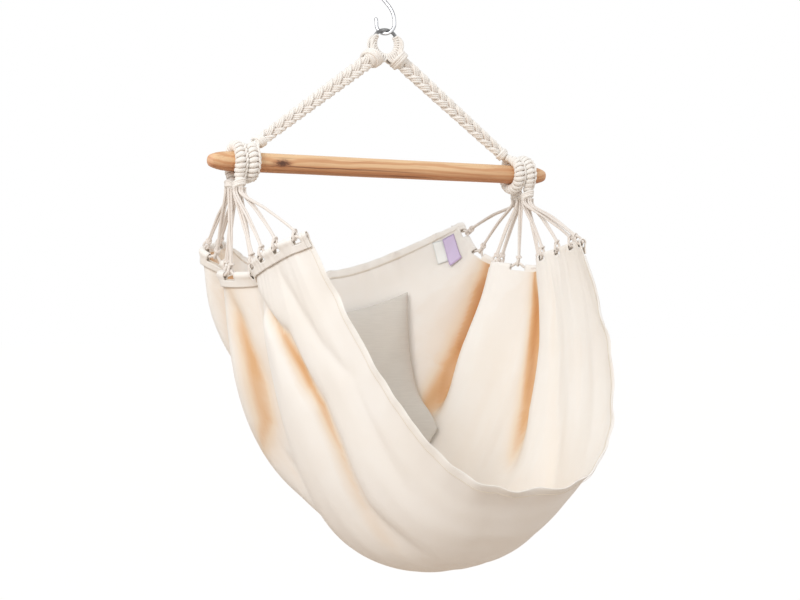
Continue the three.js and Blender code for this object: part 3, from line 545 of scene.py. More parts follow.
for side_name, side in SIDES:
    top, end, way = plait_way(side)
    knot_start = top - way * EYE_KNOT_RISE
    inner = side * np.array([way[2], 0, -way[0]])
    y = np.array([0, 1, 0])
    bore = (RING_WIRE + EYE_CORD) / 2 + EYE_PLAY
    bm = new_mesh()
    for i in range(EYE_CORDS):
        share = i / (EYE_CORDS - 1)
        angle = math.radians(EYE_FIRST_ANGLE + i * EYE_STEP_ANGLE)
        out = np.array([-side * math.cos(angle), 0, math.sin(angle)])
        wire = np.array([0, 0, RING_Z]) + out * RING_RADIUS
        foot = knot_start + way * EYE_FOOT_DEPTH + inner * (2 * share - 1) * EYE_FOOT_SPREAD
        bulge = inner * (EYE_BULGE_IN * share**2 - EYE_BULGE_OUT * (1 - share) ** 2)
        beside = wire + (foot - wire) * 0.5 + bulge
        sway = EYE_SWAY * math.sin(i * 2.4)
        deep = EYE_LAYER + EYE_CROWN * math.sin(math.pi * share)
        points = [foot - y * deep, beside - y * (bore + EYE_GAP + sway)]
        for step in range(-4, 5):
            turn = math.pi * step / 8
            points.append(wire - out * bore * math.cos(turn) + y * bore * math.sin(turn))
        points += [beside + y * (bore + EYE_GAP - sway), foot + y * deep]
        add_cord(bm, smooth_line(points, EYE_STEP), EYE_CORD)
    add_whipping(bm, knot_start, top, EYE_KNOT_REACH, EYE_KNOT_CORD, WHIPPING_TURNS, slant=EYE_KNOT_SLANT)
    add_rope_piece(f"{side_name}_eye_cords", bm, "suspension", f"{side_name}_ring_eye")

# Each rope is a plait of three flat strands, every strand made of six cords in two layers, and it
# thins towards the bar.
PLAIT_PERIOD = 0.0815
PLAIT_STEP = 0.0019
PLAIT_OVERRUN = 0.004
PLAIT_SWING = 0.0108
PLAIT_DEPTH = 0.0050
PLAIT_END_SHARE = 0.77
PLAIT_GATHER_SHARE = 0.72
PLAIT_GATHER_LENGTH = 0.022
PLAIT_GATHER_TOP = 0.010
PLAIT_GATHER_END = 0.006
STRAND_CORD = 0.0056
STRAND_PITCH_SHARE = 0.87


def strand_cords(side, strand):
    """The lines of the cords of one plaited strand, and how much each point has thinned."""
    top, end, way = plait_way(side)
    length = np.linalg.norm(end - top) + 2 * PLAIT_OVERRUN
    steps = round(length / PLAIT_STEP)
    run = np.linspace(-PLAIT_OVERRUN, length - PLAIT_OVERRUN, steps + 1)
    thin = 1 + (PLAIT_END_SHARE - 1) * np.clip(run / length, 0, 1)
    from_ends = np.minimum(run + PLAIT_GATHER_TOP, length + PLAIT_GATHER_END - run)
    ease = np.minimum(from_ends / PLAIT_GATHER_LENGTH, 1)
    gather = PLAIT_GATHER_SHARE + (1 - PLAIT_GATHER_SHARE) * ease * ease * (3 - 2 * ease)
    phase = 2 * math.pi * (run / PLAIT_PERIOD + strand / 3)
    across = np.array([-way[2], 0, way[0]]) * side
    front = np.array([0, -1.0, 0])
    middle = top + way * run[:, None]
    middle = middle + across * (PLAIT_SWING * np.sin(phase) * thin * gather)[:, None]
    middle = middle + front * (-PLAIT_DEPTH * np.sin(2 * phase) * thin * gather)[:, None]
    roll = math.pi / 2 * (1 - np.clip(np.cos(phase) / 0.8, -1, 1))
    face = -front * np.cos(roll)[:, None] + across * np.sin(roll)[:, None]
    ways = unit(np.gradient(middle, axis=0))
    face = unit(face - ways * np.sum(face * ways, axis=1)[:, None])
    broad = np.cross(ways, face)
    lines = []
    for layer in (-0.5, 0.5):
        for row in range(3):
            sideways = (row - 1) * STRAND_PITCH_SHARE
            deep = layer * (0.95 - 0.12 * sideways**2)
            offset = broad * sideways + face * deep
            lines.append(middle + offset * (STRAND_CORD * thin * gather)[:, None])
    return lines, thin * (0.9 + 0.1 * gather)


for side_name, side in SIDES:
    bm = new_mesh()
    for strand in range(3):
        lines, thin = strand_cords(side, strand)
        for line in lines:
            add_cord(bm, line, STRAND_CORD, sides=9, thickness=thin)
    add_rope_piece(f"{side_name}_plait", bm, "suspension", f"{side_name}_braid")

# A whipping of three turns closes the lower end of each plait over the legs of its eye.
PLAIT_COLLAR_START = 0.0003
PLAIT_COLLAR_LENGTH = 0.018
PLAIT_COLLAR_REACH = 0.0086
PLAIT_COLLAR_CORD = 0.0062
PLAIT_COLLAR_SLANT = 0.30
for side_name, side in SIDES:
    _, end, way = plait_way(side)
    bm = new_mesh()
    start = end + way * PLAIT_COLLAR_START
    add_whipping(bm, start, start + way * PLAIT_COLLAR_LENGTH, PLAIT_COLLAR_REACH, PLAIT_COLLAR_CORD,
                 WHIPPING_TURNS, slant=PLAIT_COLLAR_SLANT)
    add_rope_piece(f"{side_name}_plait_whipping", bm, "suspension", f"{side_name}_braid_collar")

# The lower eye of each plait is a loop round the bar, covered by half hitches. Their crossings make a
# ridge along one side of the loop.
CORE_CORD = 0.011
CORE_STEP = 0.002
TOUCH_GAP = 0.00035
HITCH_REACH = 0.0117
EYE_RADIUS = BAR_RADIUS + TOUCH_GAP + HITCH_REACH
LOOP_X = 0.314
SADDLE_X = 0.341
HITCH_PITCH = 0.0094
HITCH_WIDTH = 0.0090
HITCH_DEPTH = 0.0052
RIDGE_CORD = 0.0056
RIDGE_ANGLE = 14
RIDGE_SWAY = 0.20
RIDGE_LIFT = 0.0008
RIDGE_ROLL = 0.0012
LOOP_GAP_ANGLE = 48
LOOP_SHOULDER_ANGLE = 30
LOOP_FOOT_REACH = 0.0075
LOOP_EASE = 0.028


def round_bar(side, x, degrees, reach=EYE_RADIUS):
    """A point on the round of an eye: 0 degrees is above the bar, 90 in front of it."""
    turn = math.radians(degrees)
    return np.array([side * x, -reach * math.sin(turn), BAR_Z + reach * math.cos(turn)])


def add_hitches(bm, line, side, ends_reach, end_length):
    """Half hitches in a close row along a core, and the ridge where they cross."""
    run = run_along(line)
    total = run[-1]
    turns = round(total / HITCH_PITCH)
    steps = turns * 20
    even = np.linspace(0, total, steps + 1)
    core = evenly(line, even)
    _, ways_side, ways_up = frames_along(core, (side, 0, 0))
    ease = np.clip(np.minimum(even, total - even) / end_length, 0, 1)
    reach = ends_reach + (HITCH_REACH - ends_reach) * ease * ease * (3 - 2 * ease)
    angle = 2 * math.pi * turns * even / total
    outward = np.cos(angle)[:, None] * ways_side + np.sin(angle)[:, None] * ways_up
    wound = core + (reach - HITCH_DEPTH / 2)[:, None] * outward
    add_cord(bm, wound, HITCH_WIDTH, sides=10, outward=outward, flat=HITCH_DEPTH / HITCH_WIDTH)
    add_cord(bm, core, CORE_CORD, sides=12, thickness=(2 * reach - 1.5 * HITCH_DEPTH) / CORE_CORD)
    radial = unit(core * [0, 1, 1] - [0, 0, BAR_Z])
    sideways = np.array([1.0, 0, 0])
    for ply in (0, math.pi):
        twist = math.pi * turns * even / total + ply
        lean = math.radians(RIDGE_ANGLE) + RIDGE_SWAY * np.cos(twist)
        height = reach + RIDGE_LIFT + RIDGE_ROLL * np.sin(twist)
        ridge = core + height[:, None] * (
            np.cos(lean)[:, None] * sideways + np.sin(lean)[:, None] * radial)
        add_cord(bm, ridge[5:-5], RIDGE_CORD, sides=8)


def loop_line(side):
    _, end, way = plait_way(side)
    foot = end + way * (PLAIT_COLLAR_LENGTH + 2 * TOUCH_GAP)

    def leg(front):
        shift = np.array([0, front * (CORE_CORD / 2 + TOUCH_GAP), 0])
        straight = foot + shift + way * CORE_CORD / 3
        shoulder = round_bar(side, LOOP_X, -front * LOOP_SHOULDER_ANGLE)
        return [foot + shift, straight, shoulder + (straight - shoulder) * 0.35]

    angles = np.linspace(LOOP_GAP_ANGLE, 360 - LOOP_GAP_ANGLE, 17)
    arc = [round_bar(side, LOOP_X, degrees) for degrees in angles]
    return smooth_line(leg(-1) + arc + leg(1)[::-1], CORE_STEP)


for side_name, side in SIDES:
    bm = new_mesh()
    add_hitches(bm, loop_line(side), side, LOOP_FOOT_REACH, LOOP_EASE)
    add_rope_piece(f"{side_name}_hitched_loop", bm, "suspension", f"{side_name}_bar_loop",
                   f"{side_name}_bar_loop_hitches")

# Outside each loop a saddle of the same hitched cord lies over the bar. Its two legs end in the
# whippings from which the fan cords spread.
FAN_COLLAR_Y = 0.022
FAN_COLLAR_TOP = 0.038
COLLAR_LENGTH = 0.018
COLLAR_REACH = 0.0080
COLLAR_CORD = 0.0064
COLLAR_SLANT = 0.40
COLLAR_LEAN = 0.8
SADDLE_ANGLE = 122
SADDLE_FOOT_REACH = 0.0095
SADDLE_EASE = 0.02


def saddle_line(side):
    def leg(front):
        foot = np.array([side * SADDLE_X, front * FAN_COLLAR_Y, BAR_Z - FAN_COLLAR_TOP])
        return [foot, foot + np.array([0, 0, CORE_CORD / 2])]

    arc = [round_bar(side, SADDLE_X, degrees) for degrees in np.linspace(SADDLE_ANGLE, -SADDLE_ANGLE, 15)]
    return smooth_line(leg(-1) + arc + leg(1)[::-1], CORE_STEP)


for side_name, side in SIDES:
    bm = new_mesh()
    add_hitches(bm, saddle_line(side), side, SADDLE_FOOT_REACH, SADDLE_EASE)
    add_rope_piece(f"{side_name}_hitched_saddle", bm, "sling", f"{side_name}_saddle",
                   f"{side_name}_saddle_hitches")
    for place, front in (("front", -1), ("back", 1)):
        start = np.array([side * SADDLE_X, front * FAN_COLLAR_Y, BAR_Z - FAN_COLLAR_TOP])
        bm = new_mesh()
        add_whipping(bm, start, start - np.array([0, 0, COLLAR_LENGTH]), COLLAR_REACH, COLLAR_CORD,
                     WHIPPING_TURNS, slant=COLLAR_SLANT, lean=front * COLLAR_LEAN)
        add_rope_piece(f"{side_name}_{place}_fan_whipping", bm, "sling", f"{side_name}_{place}_fan_collar")

# The sling's shape: rows of its two hems, of the fall of the cloth below them, of its middle line and
# of its belly, from the back edge to the front edge, as shares of its span, reach and drop.
SPAN = np.array([0.350, 0.430, -0.830])
CLOTH = 0.0022
HEM_CHANNEL = 0.0052
HEM_WAY_SHARE = 0.004
HEM_DEPTH = 0.024
HEM_ROPE = 0.006
HEM_ROPE_STEP = 0.002
SPINE = np.array([
    [-0.104, 0.463, 0.256], [-0.075, 0.368, 0.537], [-0.02, 0.062, 0.831], [0.036, -0.369, 0.978],
    [0.036, -0.822, 0.937], [-0.048, -1.14, 0.751]])
SLING_SIDES = {
    "left": {
        "sign": -1,
        "rows": [0, 0.19, 0.3, 0.41, 0.53, 0.65, 0.77, 0.89, 1],
        "hem": np.array([
            [0.845, 0.411, 0.183], [1.016, 0.318, 0.206], [0.921, 0.169, 0.248], [1.044, 0.007, 0.268],
            [0.95, -0.177, 0.268], [1.021, -0.339, 0.248], [1.016, -0.453, 0.228], [0.973, -0.569, 0.206],
            [0.888, -0.671, 0.185]]),
        "fall": np.array([
            [-0.214, 0.047, 0.072], [0.023, 0.023, 0.301], [-0.171, 0, 0.337], [-0.014, -0.047, 0.349],
            [-0.214, -0.07, 0.349], [-0.043, -0.093, 0.337], [-0.129, -0.093, 0.289],
            [-0.143, -0.105, 0.229], [-0.143, -0.105, 0.181]]),
        "belly": np.array([
            [0.229, 0, 0.036], [0.571, 0, 0.06], [0.8, 0, 0.042], [0.76, 0, 0.03], [0.4, 0, 0]]),
    },
    "right": {
        "sign": 1,
        "rows": [0, 0.125, 0.25, 0.375, 0.5, 0.625, 0.75, 0.875, 1],
        "hem": np.array([
            [0.866, 0.449, 0.116], [0.861, 0.318, 0.189], [0.958, 0.196, 0.23], [0.824, 0.1, 0.23],
            [0.998, -0.096, 0.242], [0.906, -0.234, 0.22], [0.938, -0.362, 0.203], [0.918, -0.534, 0.191],
            [0.839, -0.685, 0.189]]),
        "fall": np.array([
            [-0.229, 0.03, 0.036], [-0.214, 0.07, 0.157], [-0.029, 0.093, 0.241], [-0.143, -0.023, 0.229],
            [-0.114, 0.047, 0.325], [0.057, -0.07, 0.325], [0.1, -0.093, 0.361], [0.171, -0.14, 0.361],
            [0.2, -0.198, 0.343]]),
        "belly": np.array([
            [0.229, 0, 0], [0.286, 0, -0.036], [0.429, 0, 0], [0.59, 0, 0.024], [0.9, 0, 0.09]]),
    },
}


def read_table(table, share):
    """A smooth line through the rows of a table, read at a share of its length."""
    last = len(table) - 1
    place = min(max(share, 0), 1) * last
    row = min(int(place), last - 1)
    part = place - row
    padded = np.vstack([2 * table[0] - table[1], table, 2 * table[-1] - table[-2]])
    a, b, c, d = padded[row:row + 4]
    bend = 2 * a - 5 * b + 4 * c - d
    return (2 * b + (c - a) * part + bend * part**2 + (3 * b - a - 3 * c + d) * part**3) / 2


def cloth_bend(name, v):
    """The four points that shape the cloth from its middle line to a hem, at a share from the back."""
    shape = SLING_SIDES[name]
    rows = shape["rows"]
    row = np.interp(v, rows, np.arange(len(rows))) / (len(rows) - 1)
    out = np.array([shape["sign"], 1, 1])
    spine = read_table(SPINE, v) * SPAN
    hem = read_table(shape["hem"], row) * SPAN * out
    fall = hem + read_table(shape["fall"], row) * SPAN * out
    belly = spine + read_table(shape["belly"], v) * SPAN * out
    return np.array([spine, belly, fall, hem]) + np.array([0, 0, BAR_Z])


def bend_points(knots, u):
    u = np.atleast_1d(u)[:, None]
    return ((1 - u) ** 3 * knots[0] + 3 * (1 - u) ** 2 * u * knots[1]
            + 3 * (1 - u) * u**2 * knots[2] + u**3 * knots[3])


def hem_frame(name, v):
    """The top of a hem, the way up square to it, the way in to the seat, and its rope's middle."""
    sign = SLING_SIDES[name]["sign"]
    knots = cloth_bend(name, v)
    ahead, behind = min(v + HEM_WAY_SHARE, 1), max(v - HEM_WAY_SHARE, 0)
    forward = unit(cloth_bend(name, ahead)[3] - cloth_bend(name, behind)[3])
    inwards = unit(np.cross(knots[3] - knots[2], forward)) * sign
    up = np.cross(forward, inwards) * sign
    rope = knots[3] - up * (HEM_CHANNEL + CLOTH / 2) + inwards * HEM_CHANNEL
    return knots, up, inwards, rope


# The fan cords hang in pairs from the whippings, ten pairs on each side. Each pair is one cord that
# goes round the hem rope where a slot of the casing lets it out, with a small knot above.
FAN_CORD = 0.0052
FAN_CORD_STEP = 0.0018
FAN_PER_COLLAR = 5
FAN_CORDS = 2 * FAN_PER_COLLAR
FAN_RING_RADIUS = 0.0097
SLOT_SHARE = 0.036
HEM_END_SHARE = 0.045
HEM_LIFT = 0.0095
FAN_CORD_PLAY = 0.0002
FAN_CORD_PRESS = 0.0001
FAN_CORD_DROP = 0.007
FAN_CORD_TUCK = 0.010
FAN_LOOP_ANGLE = 0.42
FAN_KNOT_SHARE = 2.0
FAN_KNOT_LENGTH = 0.006
FAN_KNOT_BELOW = 0.001
FAN_KNOT_REACH = 0.0034
FAN_KNOT_CORD = 0.0034
FAN_KNOT_SLANT = 0.5
FAN_KNOT_TURNS = 2


def cord_share(i):
    return HEM_END_SHARE + (1 - 2 * HEM_END_SHARE) * i / (FAN_CORDS - 1)


def orders(count):
    """Every order of the numbers below a count."""
    if count == 0:
        return [[]]
    return [[*order[:i], count - 1, *order[i:]] for order in orders(count - 1) for i in range(count)]


def fan_places(name, front):
    """Which place in the whipping's ring each of its cords takes, so that no two cross."""
    first = 0 if front > 0 else FAN_PER_COLLAR
    ways = [hem_frame(name, cord_share(first + i))[3][:2] for i in range(FAN_PER_COLLAR)]
    ways = np.array(ways) - np.mean(ways, axis=0)
    turn = 2 * math.pi / FAN_PER_COLLAR
    ring = [np.array([math.sin(k * turn), front * math.cos(k * turn)]) for k in range(FAN_PER_COLLAR)]

    def agreement(order):
        return sum(ring[k] @ ways[i] for i, k in enumerate(order))

    return [k * turn for k in max(orders(FAN_PER_COLLAR), key=agreement)]


def slot_frame(name, side, index):
    """The whipping's foot, the rope's ends and its drawn-up middle in a slot, and the cord's pull."""
    front = -1 if index >= FAN_PER_COLLAR else 1
    foot = BAR_Z - FAN_COLLAR_TOP - COLLAR_LENGTH
    centre = np.array([side * SADDLE_X, front * FAN_COLLAR_Y, foot])
    ends = [hem_frame(name, cord_share(index) + way * SLOT_SHARE / 2)[3] for way in (-1, 1)]
    rope = (ends[0] + ends[1]) / 2
    pull = unit(centre - rope)
    return centre, front, ends, rope + pull * HEM_LIFT, pull


def add_fan_cord(bm, name, side, index, ring):
    centre, front, ends, rope, pull = slot_frame(name, side, index)
    along = unit(ends[1] - ends[0])
    lift = unit(pull - along * (pull @ along))
    across = np.cross(along, lift)
    radius = (HEM_ROPE + FAN_CORD) / 2 + FAN_CORD_PLAY
    top = centre + np.array([math.sin(ring), front * math.cos(ring), 0]) * FAN_RING_RADIUS
    level = unit(np.array([-pull[1], pull[0], 0]))
    level = level * np.sign(level @ across)
    square = unit(across - pull * (across @ pull))
    half = FAN_CORD / 2 - FAN_CORD_PRESS
    knot = rope + lift * FAN_KNOT_SHARE * radius

    def strand(way):
        straight = top + level * way * half - np.array([0, 0, FAN_CORD_DROP])
        middle = (top + knot) / 2 + unit(level + square) * way * half
        near = knot + square * way * half
        below = rope + lift * 1.05 * radius + across * way * radius * 0.9
        return [straight + np.array([0, 0, FAN_CORD_TUCK]), straight, middle, near, below]

    loop = []
    for step in range(-4, 5):
        angle = step * FAN_LOOP_ANGLE
        loop.append(rope + across * radius * math.sin(angle) - lift * radius * math.cos(angle))
    add_cord(bm, smooth_line(strand(-1) + loop + strand(1)[::-1], FAN_CORD_STEP), FAN_CORD)
    foot = knot - pull * FAN_KNOT_BELOW
    add_whipping(bm, foot, foot + pull * FAN_KNOT_LENGTH, FAN_KNOT_REACH, FAN_KNOT_CORD, FAN_KNOT_TURNS,
                 slant=FAN_KNOT_SLANT, sides=6)


for side_name, side in SIDES:
    rings = fan_places(side_name, 1) + fan_places(side_name, -1)
    for index in range(FAN_CORDS):
        bm = new_mesh()
        add_fan_cord(bm, side_name, side, index, rings[index])
        label = f"{index + 1:02d}"
        add_rope_piece(f"{side_name}_laid_fan_cord_{label}", bm, "sling", f"{side_name}_fan_cord_{label}",
                       finish=fan_cotton)

# A rope runs through the casing of each hem. In every slot a fan cord draws it up.
for side_name, side in SIDES:
    points = [hem_frame(side_name, 0)[3]]
    for index in range(FAN_CORDS):
        _, _, ends, drawn, _ = slot_frame(side_name, side, index)
        points += [ends[0], drawn, ends[1]]
    points.append(hem_frame(side_name, 1)[3])
    bm = new_mesh()
    add_cord(bm, smooth_line(points, HEM_ROPE_STEP), HEM_ROPE)
    add_rope_piece(f"{side_name}_laid_hem_rope", bm, "sling", f"{side_name}_hem_rope", finish=fan_cotton)

# The sling is one tailored cloth of heavy unbleached cotton canvas. Each side hem is folded over into
# a stitched casing with slots for the cords, and the front and back edges are rolled and sewn.
ROWS = 180
BODY_COLUMNS = 84
CASING_COLUMNS = 22
CANVAS = 0.0016
LAP_END = 0.0019
CLOTH_STEP = 0.0015
THREAD_COLUMN = 60


def half_line(name, v):
    """The cloth from its middle line to the inner end of a casing, and where the casing starts."""
    knots, up, inwards, _ = hem_frame(name, v)
    level = HEM_CHANNEL + CLOTH / 2
    top = knots[3]

    def place(inside, height):
        return top + up * (height - level) + inwards * inside

    body = list(bend_points(knots, np.linspace(0, 0.9, 25)))
    c = HEM_CHANNEL
    casing = [place(0, -2 * c), place(0, 0), place(0.45 * c, 0.9 * c), place(c, 1.12 * c),
              place(1.55 * c, 0.9 * c), place(2 * c, -0.1 * c), place(1.3 * c, -1.6 * c),
              place(LAP_END, -HEM_DEPTH)]
    line = smooth_line(body + casing, CLOTH_STEP)
    total = length_of(line)
    start = total - length_of(smooth_line(casing, CLOTH_STEP))
    lengths = np.concatenate([np.linspace(0, start, BODY_COLUMNS + 1),
                              np.linspace(start, total, CASING_COLUMNS + 1)[1:]])
    return evenly(line, lengths)


def cloth_grid():
    grid = []
    for v in np.linspace(0, 1, ROWS + 1):
        left, right = half_line("left", v), half_line("right", v)
        grid.append(np.concatenate([left[:0:-1], right]))
    return np.array(grid)


# Each fold: its side, how far it brings the cloth in (or, below zero, out), its width as a share of the
# cloth's length, where it starts on the way out from the middle, and its course in shares out from the
# middle and from the back.
FOLDS = (
    ("left", 0.0310, 0.036, 0.36, ((0.3, 0.33), (0.5, 0.285), (0.9, 0.275), (1, 0.29))),
    ("left", 0.0210, 0.032, 0.05,
     ((0.15, 0.785), (0.33, 0.765), (0.5, 0.79), (0.62, 0.796), (0.82, 0.74), (0.92, 0.64), (1, 0.53))),
    ("left", 0.0170, 0.030, 0.24, ((0.2, 0.53), (0.5, 0.47), (0.7, 0.478), (0.86, 0.45), (1, 0.42))),
    ("left", 0.0070, 0.022, 0.15, ((0.2, 0.88), (0.6, 0.925), (1, 0.8))),
    ("right", -0.0330, 0.036, 0.25, ((0.3, 0.355), (0.5, 0.325), (0.66, 0.285), (1, 0.27))),
    ("right", -0.0285, 0.028, 0.33, ((0.4, 0.606), (0.57, 0.575), (0.77, 0.570), (1, 0.54))),
    ("right", -0.0080, 0.030, 0.20, ((0.2, 0.8), (0.6, 0.72), (1, 0.69))),
)
# Deep in a fold light goes from cloth to cloth and grows warm; that warm light is painted into the cloth's
# colour.
# Each painted glow: its side, the cloth's face that shows it, its widths towards the back and the front, and
# its course:
# where it runs, as shares out from the middle and from the back, with its strength there.
PAINTED_GLOWS = (
    ("left", "outer", 0.030, 0.030, (
        (0.32, 0.375, 0), (0.42, 0.405, 0.45), (0.48, 0.425, 0.55), (0.59, 0.458, 0.62),
        (0.77, 0.458, 0.62), (0.86, 0.444, 0.6), (0.96, 0.438, 0.5), (1, 0.435, 0.3))),
    ("left", "outer", 0.020, 0.018, (
        (0.10, 0.735, 0), (0.24, 0.748, 0.34), (0.33, 0.755, 0.34), (0.50, 0.782, 0.5),
        (0.62, 0.787, 0.64), (0.73, 0.760, 0.68), (0.82, 0.727, 0.6), (0.90, 0.666, 0.45),
        (1, 0.600, 0.2))),
    ("right", "inner", 0.046, 0.055, (
        (0.26, 0.335, 0), (0.34, 0.326, 0.62), (0.41, 0.314, 0.68), (0.50, 0.284, 0.6),
        (0.60, 0.258, 0.66), (0.76, 0.232, 0.74), (0.86, 0.215, 0.78), (1, 0.205, 0.76))),
    ("right", "inner", 0.026, 0.026, (
        (0.36, 0.600, 0), (0.43, 0.590, 0.42), (0.51, 0.574, 0.52), (0.63, 0.560, 0.7),
        (0.77, 0.546, 0.77), (0.88, 0.530, 0.77), (1, 0.508, 0.72))),
    ("left", "inner", 0.240, 0.260, (
        (0.76, 0.250, 0), (0.88, 0.250, 0.5), (0.95, 0.250, 0.84), (1, 0.250, 0.9))),
)
FOLD_RISE_SHARE = 0.22
FOLD_FALL_SHARE = 0.12
FOLD_LEAN = 1.6
FOLD_EDGE = 1.6


def ramp(share):
    share = min(max(share, 0), 1)
    return share * share * (3 - 2 * share)


def fold_shift(side_name, out, v):
    """How the folds of one side move the cloth: sideways near the hem, upwards near the middle."""
    deep = 0.0
    for name, depth, width, first, course in FOLDS:
        if name == side_name:
            reach = ramp((out - first) / FOLD_RISE_SHARE) * ramp((1 - out) / FOLD_FALL_SHARE)
            centre = np.interp(out, [c[0] for c in course], [c[1] for c in course])
            deep += depth * reach * math.exp(-(abs(v - centre) / width) ** FOLD_EDGE)
    lean = math.pi / 2 * min(FOLD_LEAN * out, 1)
    return deep * np.array([-SLING_SIDES[side_name]["sign"] * math.sin(lean), 0, math.cos(lean)])


def painted_glow_at(side_name, face, out, v):
    """How warm the painted light is on one face of the cloth, 0 to 1."""
    warm = 0.0
    for name, glowing, back_width, front_width, course in PAINTED_GLOWS:
        if (name, glowing) == (side_name, face):
            outs, centres, strengths = zip(*course)
            away = v - np.interp(out, outs, centres)
            width = front_width if away > 0 else back_width
            warm += np.interp(out, outs, strengths) * math.exp(-(abs(away) / width) ** FOLD_EDGE)
    return min(warm, 1)


grid = cloth_grid()
columns = grid.shape[1]
middle_column = BODY_COLUMNS + CASING_COLUMNS
painted_glow_grid = {face: np.zeros(grid.shape[:2]) for face in ("inner", "outer")}
for i in range(ROWS + 1):
    for j in range(CASING_COLUMNS, columns - CASING_COLUMNS):
        way = j - middle_column
        side_name, out, v = "left" if way < 0 else "right", abs(way) / BODY_COLUMNS, i / ROWS
        grid[i, j] += fold_shift(side_name, out, v)
        for face, glow in painted_glow_grid.items():
            glow[i, j] = painted_glow_at(side_name, face, out, v)

# The cloth between the folds is softly crumpled, drawn into small puckers along the casings, and wavy
# along its front and back edges.
CRUMPLES = ((13, 0.020, 3.1, 0.0055), (34, 0.045, 7.7, 0.0014))
HEM_CRUMPLE = (55, 0.06, 1.3, 0.0012)
HEM_PUCKERS = ((60, 1.7, 4.4, 0.0016), (17, 8.2, 2.1, 0.0030))
HEM_CRUMPLE_PLACE = 0.94
HEM_CRUMPLE_SPREAD = 0.07
HEM_PUCKER_START = 0.78
HEM_PUCKER_RISE = 0.17
RIM_PITCH_DOWN = 3
RIM_PITCH_ACROSS = 0.14
RIM_WAVE = 0.013
RIM_SHARE = 0.022
STEADY_SHARE = 0.95


def crumple_at(v, way, kind):
    """The height of one kind of crumple: its pitches down and across, its seed and its size."""
    down, across, seed, height = kind
    return noise.noise(Vector((v * down, way * across, seed))) * height


normals = unit(np.cross(np.gradient(grid, axis=0), np.gradient(grid, axis=1)))
steady = round(BODY_COLUMNS * STEADY_SHARE)
moved = grid.copy()
for i in range(ROWS + 1):
    v = i / ROWS
    rim = math.exp(-min(v, 1 - v) / RIM_SHARE)
    hem_pucker = sum(noise.noise(Vector((v * pitch, *seeds))) * height
                     for pitch, *seeds, height in HEM_PUCKERS)
    for j in range(columns):
        way = j - middle_column
        out = abs(way) / BODY_COLUMNS
        free = min(1, max(0, 4 * (1 - out)))
        near_hem = math.exp(-abs(HEM_CRUMPLE_PLACE - out) / HEM_CRUMPLE_SPREAD) * free
        crumple = sum(crumple_at(v, way, kind) * free for kind in CRUMPLES)
        crumple += crumple_at(v, way, HEM_CRUMPLE) * near_hem
        wave = noise.noise(Vector((way * RIM_PITCH_ACROSS, v * RIM_PITCH_DOWN, 11))) * RIM_WAVE
        crumple += wave * rim * min(1, max(0, 6 * (1 - out)))
        hem_way = normals[i, middle_column + (steady if way > 0 else -steady)]
        drawn = hem_pucker * ramp((out - HEM_PUCKER_START) / HEM_PUCKER_RISE)
        moved[i, j] += normals[i, j] * crumple + hem_way * drawn
grid = moved

# Each edge is rolled over towards the seat, so its rows turn back on themselves.
HEM_LAP = 0.0021
HEM_ROWS = 3
FIRST_SLOT_COLUMN = 6
CASING_OPEN = 0.70
normals = unit(np.cross(np.gradient(grid, axis=0), np.gradient(grid, axis=1)))
laps = []
for edge, inwards in ((0, 1), (ROWS, -1)):
    beyond = unit(grid[edge] - grid[edge + inwards])
    lap = [grid[edge + inwards * k] + normals[edge + inwards * k] * HEM_LAP for k in range(HEM_ROWS, -1, -1)]
    lap.append(grid[edge] + normals[edge] * HEM_LAP / 2 + beyond * HEM_LAP / 2)
    laps.append(lap)
sheet_rows = np.array([*laps[0], *grid, *laps[1][::-1]])
extra = len(laps[0])

bm = new_mesh()
for mark_name in ("warp", "weft", "casing"):
    bm.verts.layers.float.new(mark_name)
bm.verts.layers.int.new("spot")
rows = net(bm, sheet_rows)
warp_mark, weft_mark = bm.verts.layers.float["warp"], bm.verts.layers.float["weft"]
row_run = run_along(sheet_rows[:, THREAD_COLUMN]).tolist()
column_run = run_along(sheet_rows[len(sheet_rows) // 2]).tolist()
for row, along in zip(rows, row_run):
    for vert, out in zip(row, column_run):
        vert[warp_mark], vert[weft_mark] = along, out
slots = []
for i in range(ROWS):
    v = (i + 0.5) / ROWS
    if all(abs(v - cord_share(k)) >= SLOT_SHARE / 2 for k in range(FAN_CORDS)):
        continue
    for j in range(columns - 1):
        depth = min(j, columns - 2 - j)
        if FIRST_SLOT_COLUMN <= depth <= CASING_COLUMNS - 2:
            corner = rows[i + extra][j], rows[i + extra + 1][j + 1]
            slots.append(next(face for face in corner[0].link_faces if corner[1] in face.verts))
bmesh.ops.delete(bm, geom=slots, context="FACES")
flat_area = sum(face.calc_area() for face in bm.faces)
casing_mark, spot_mark = bm.verts.layers.float["casing"], bm.verts.layers.int["spot"]
for i, row in enumerate(rows):
    for j, vert in enumerate(row):
        if vert.is_valid:
            vert[casing_mark] = ramp((CASING_COLUMNS + 10 - min(j, columns - 1 - j)) / 5)
            vert[spot_mark] = min(max(i - extra, 0), ROWS) * columns + j
bmesh.ops.solidify(bm, geom=bm.faces[:], thickness=CANVAS)
# Rays about each vertex find how open the space before the cloth is; that openness, lifted in the casing and
# lowered where the painted glow lies, picks the cloth's colour: painted shade in the folds and painted warm
# light deep in them.
mark_openness(bm, count=20, reach=0.60, lift=0.0015)
openness = bm.verts.layers.float["open"]
for vert in bm.verts:
    i, j = divmod(vert[spot_mark], columns)
    inside = min(max(4 * vert.normal.dot(Vector(normals[i, j])), -1), 1)
    painted_warmth = max(0, -inside) * painted_glow_grid["outer"][i, j] + max(0, inside) * painted_glow_grid["inner"][i, j]
    vert[openness] = max(vert[openness], CASING_OPEN * vert[casing_mark]) * (1 - painted_warmth)
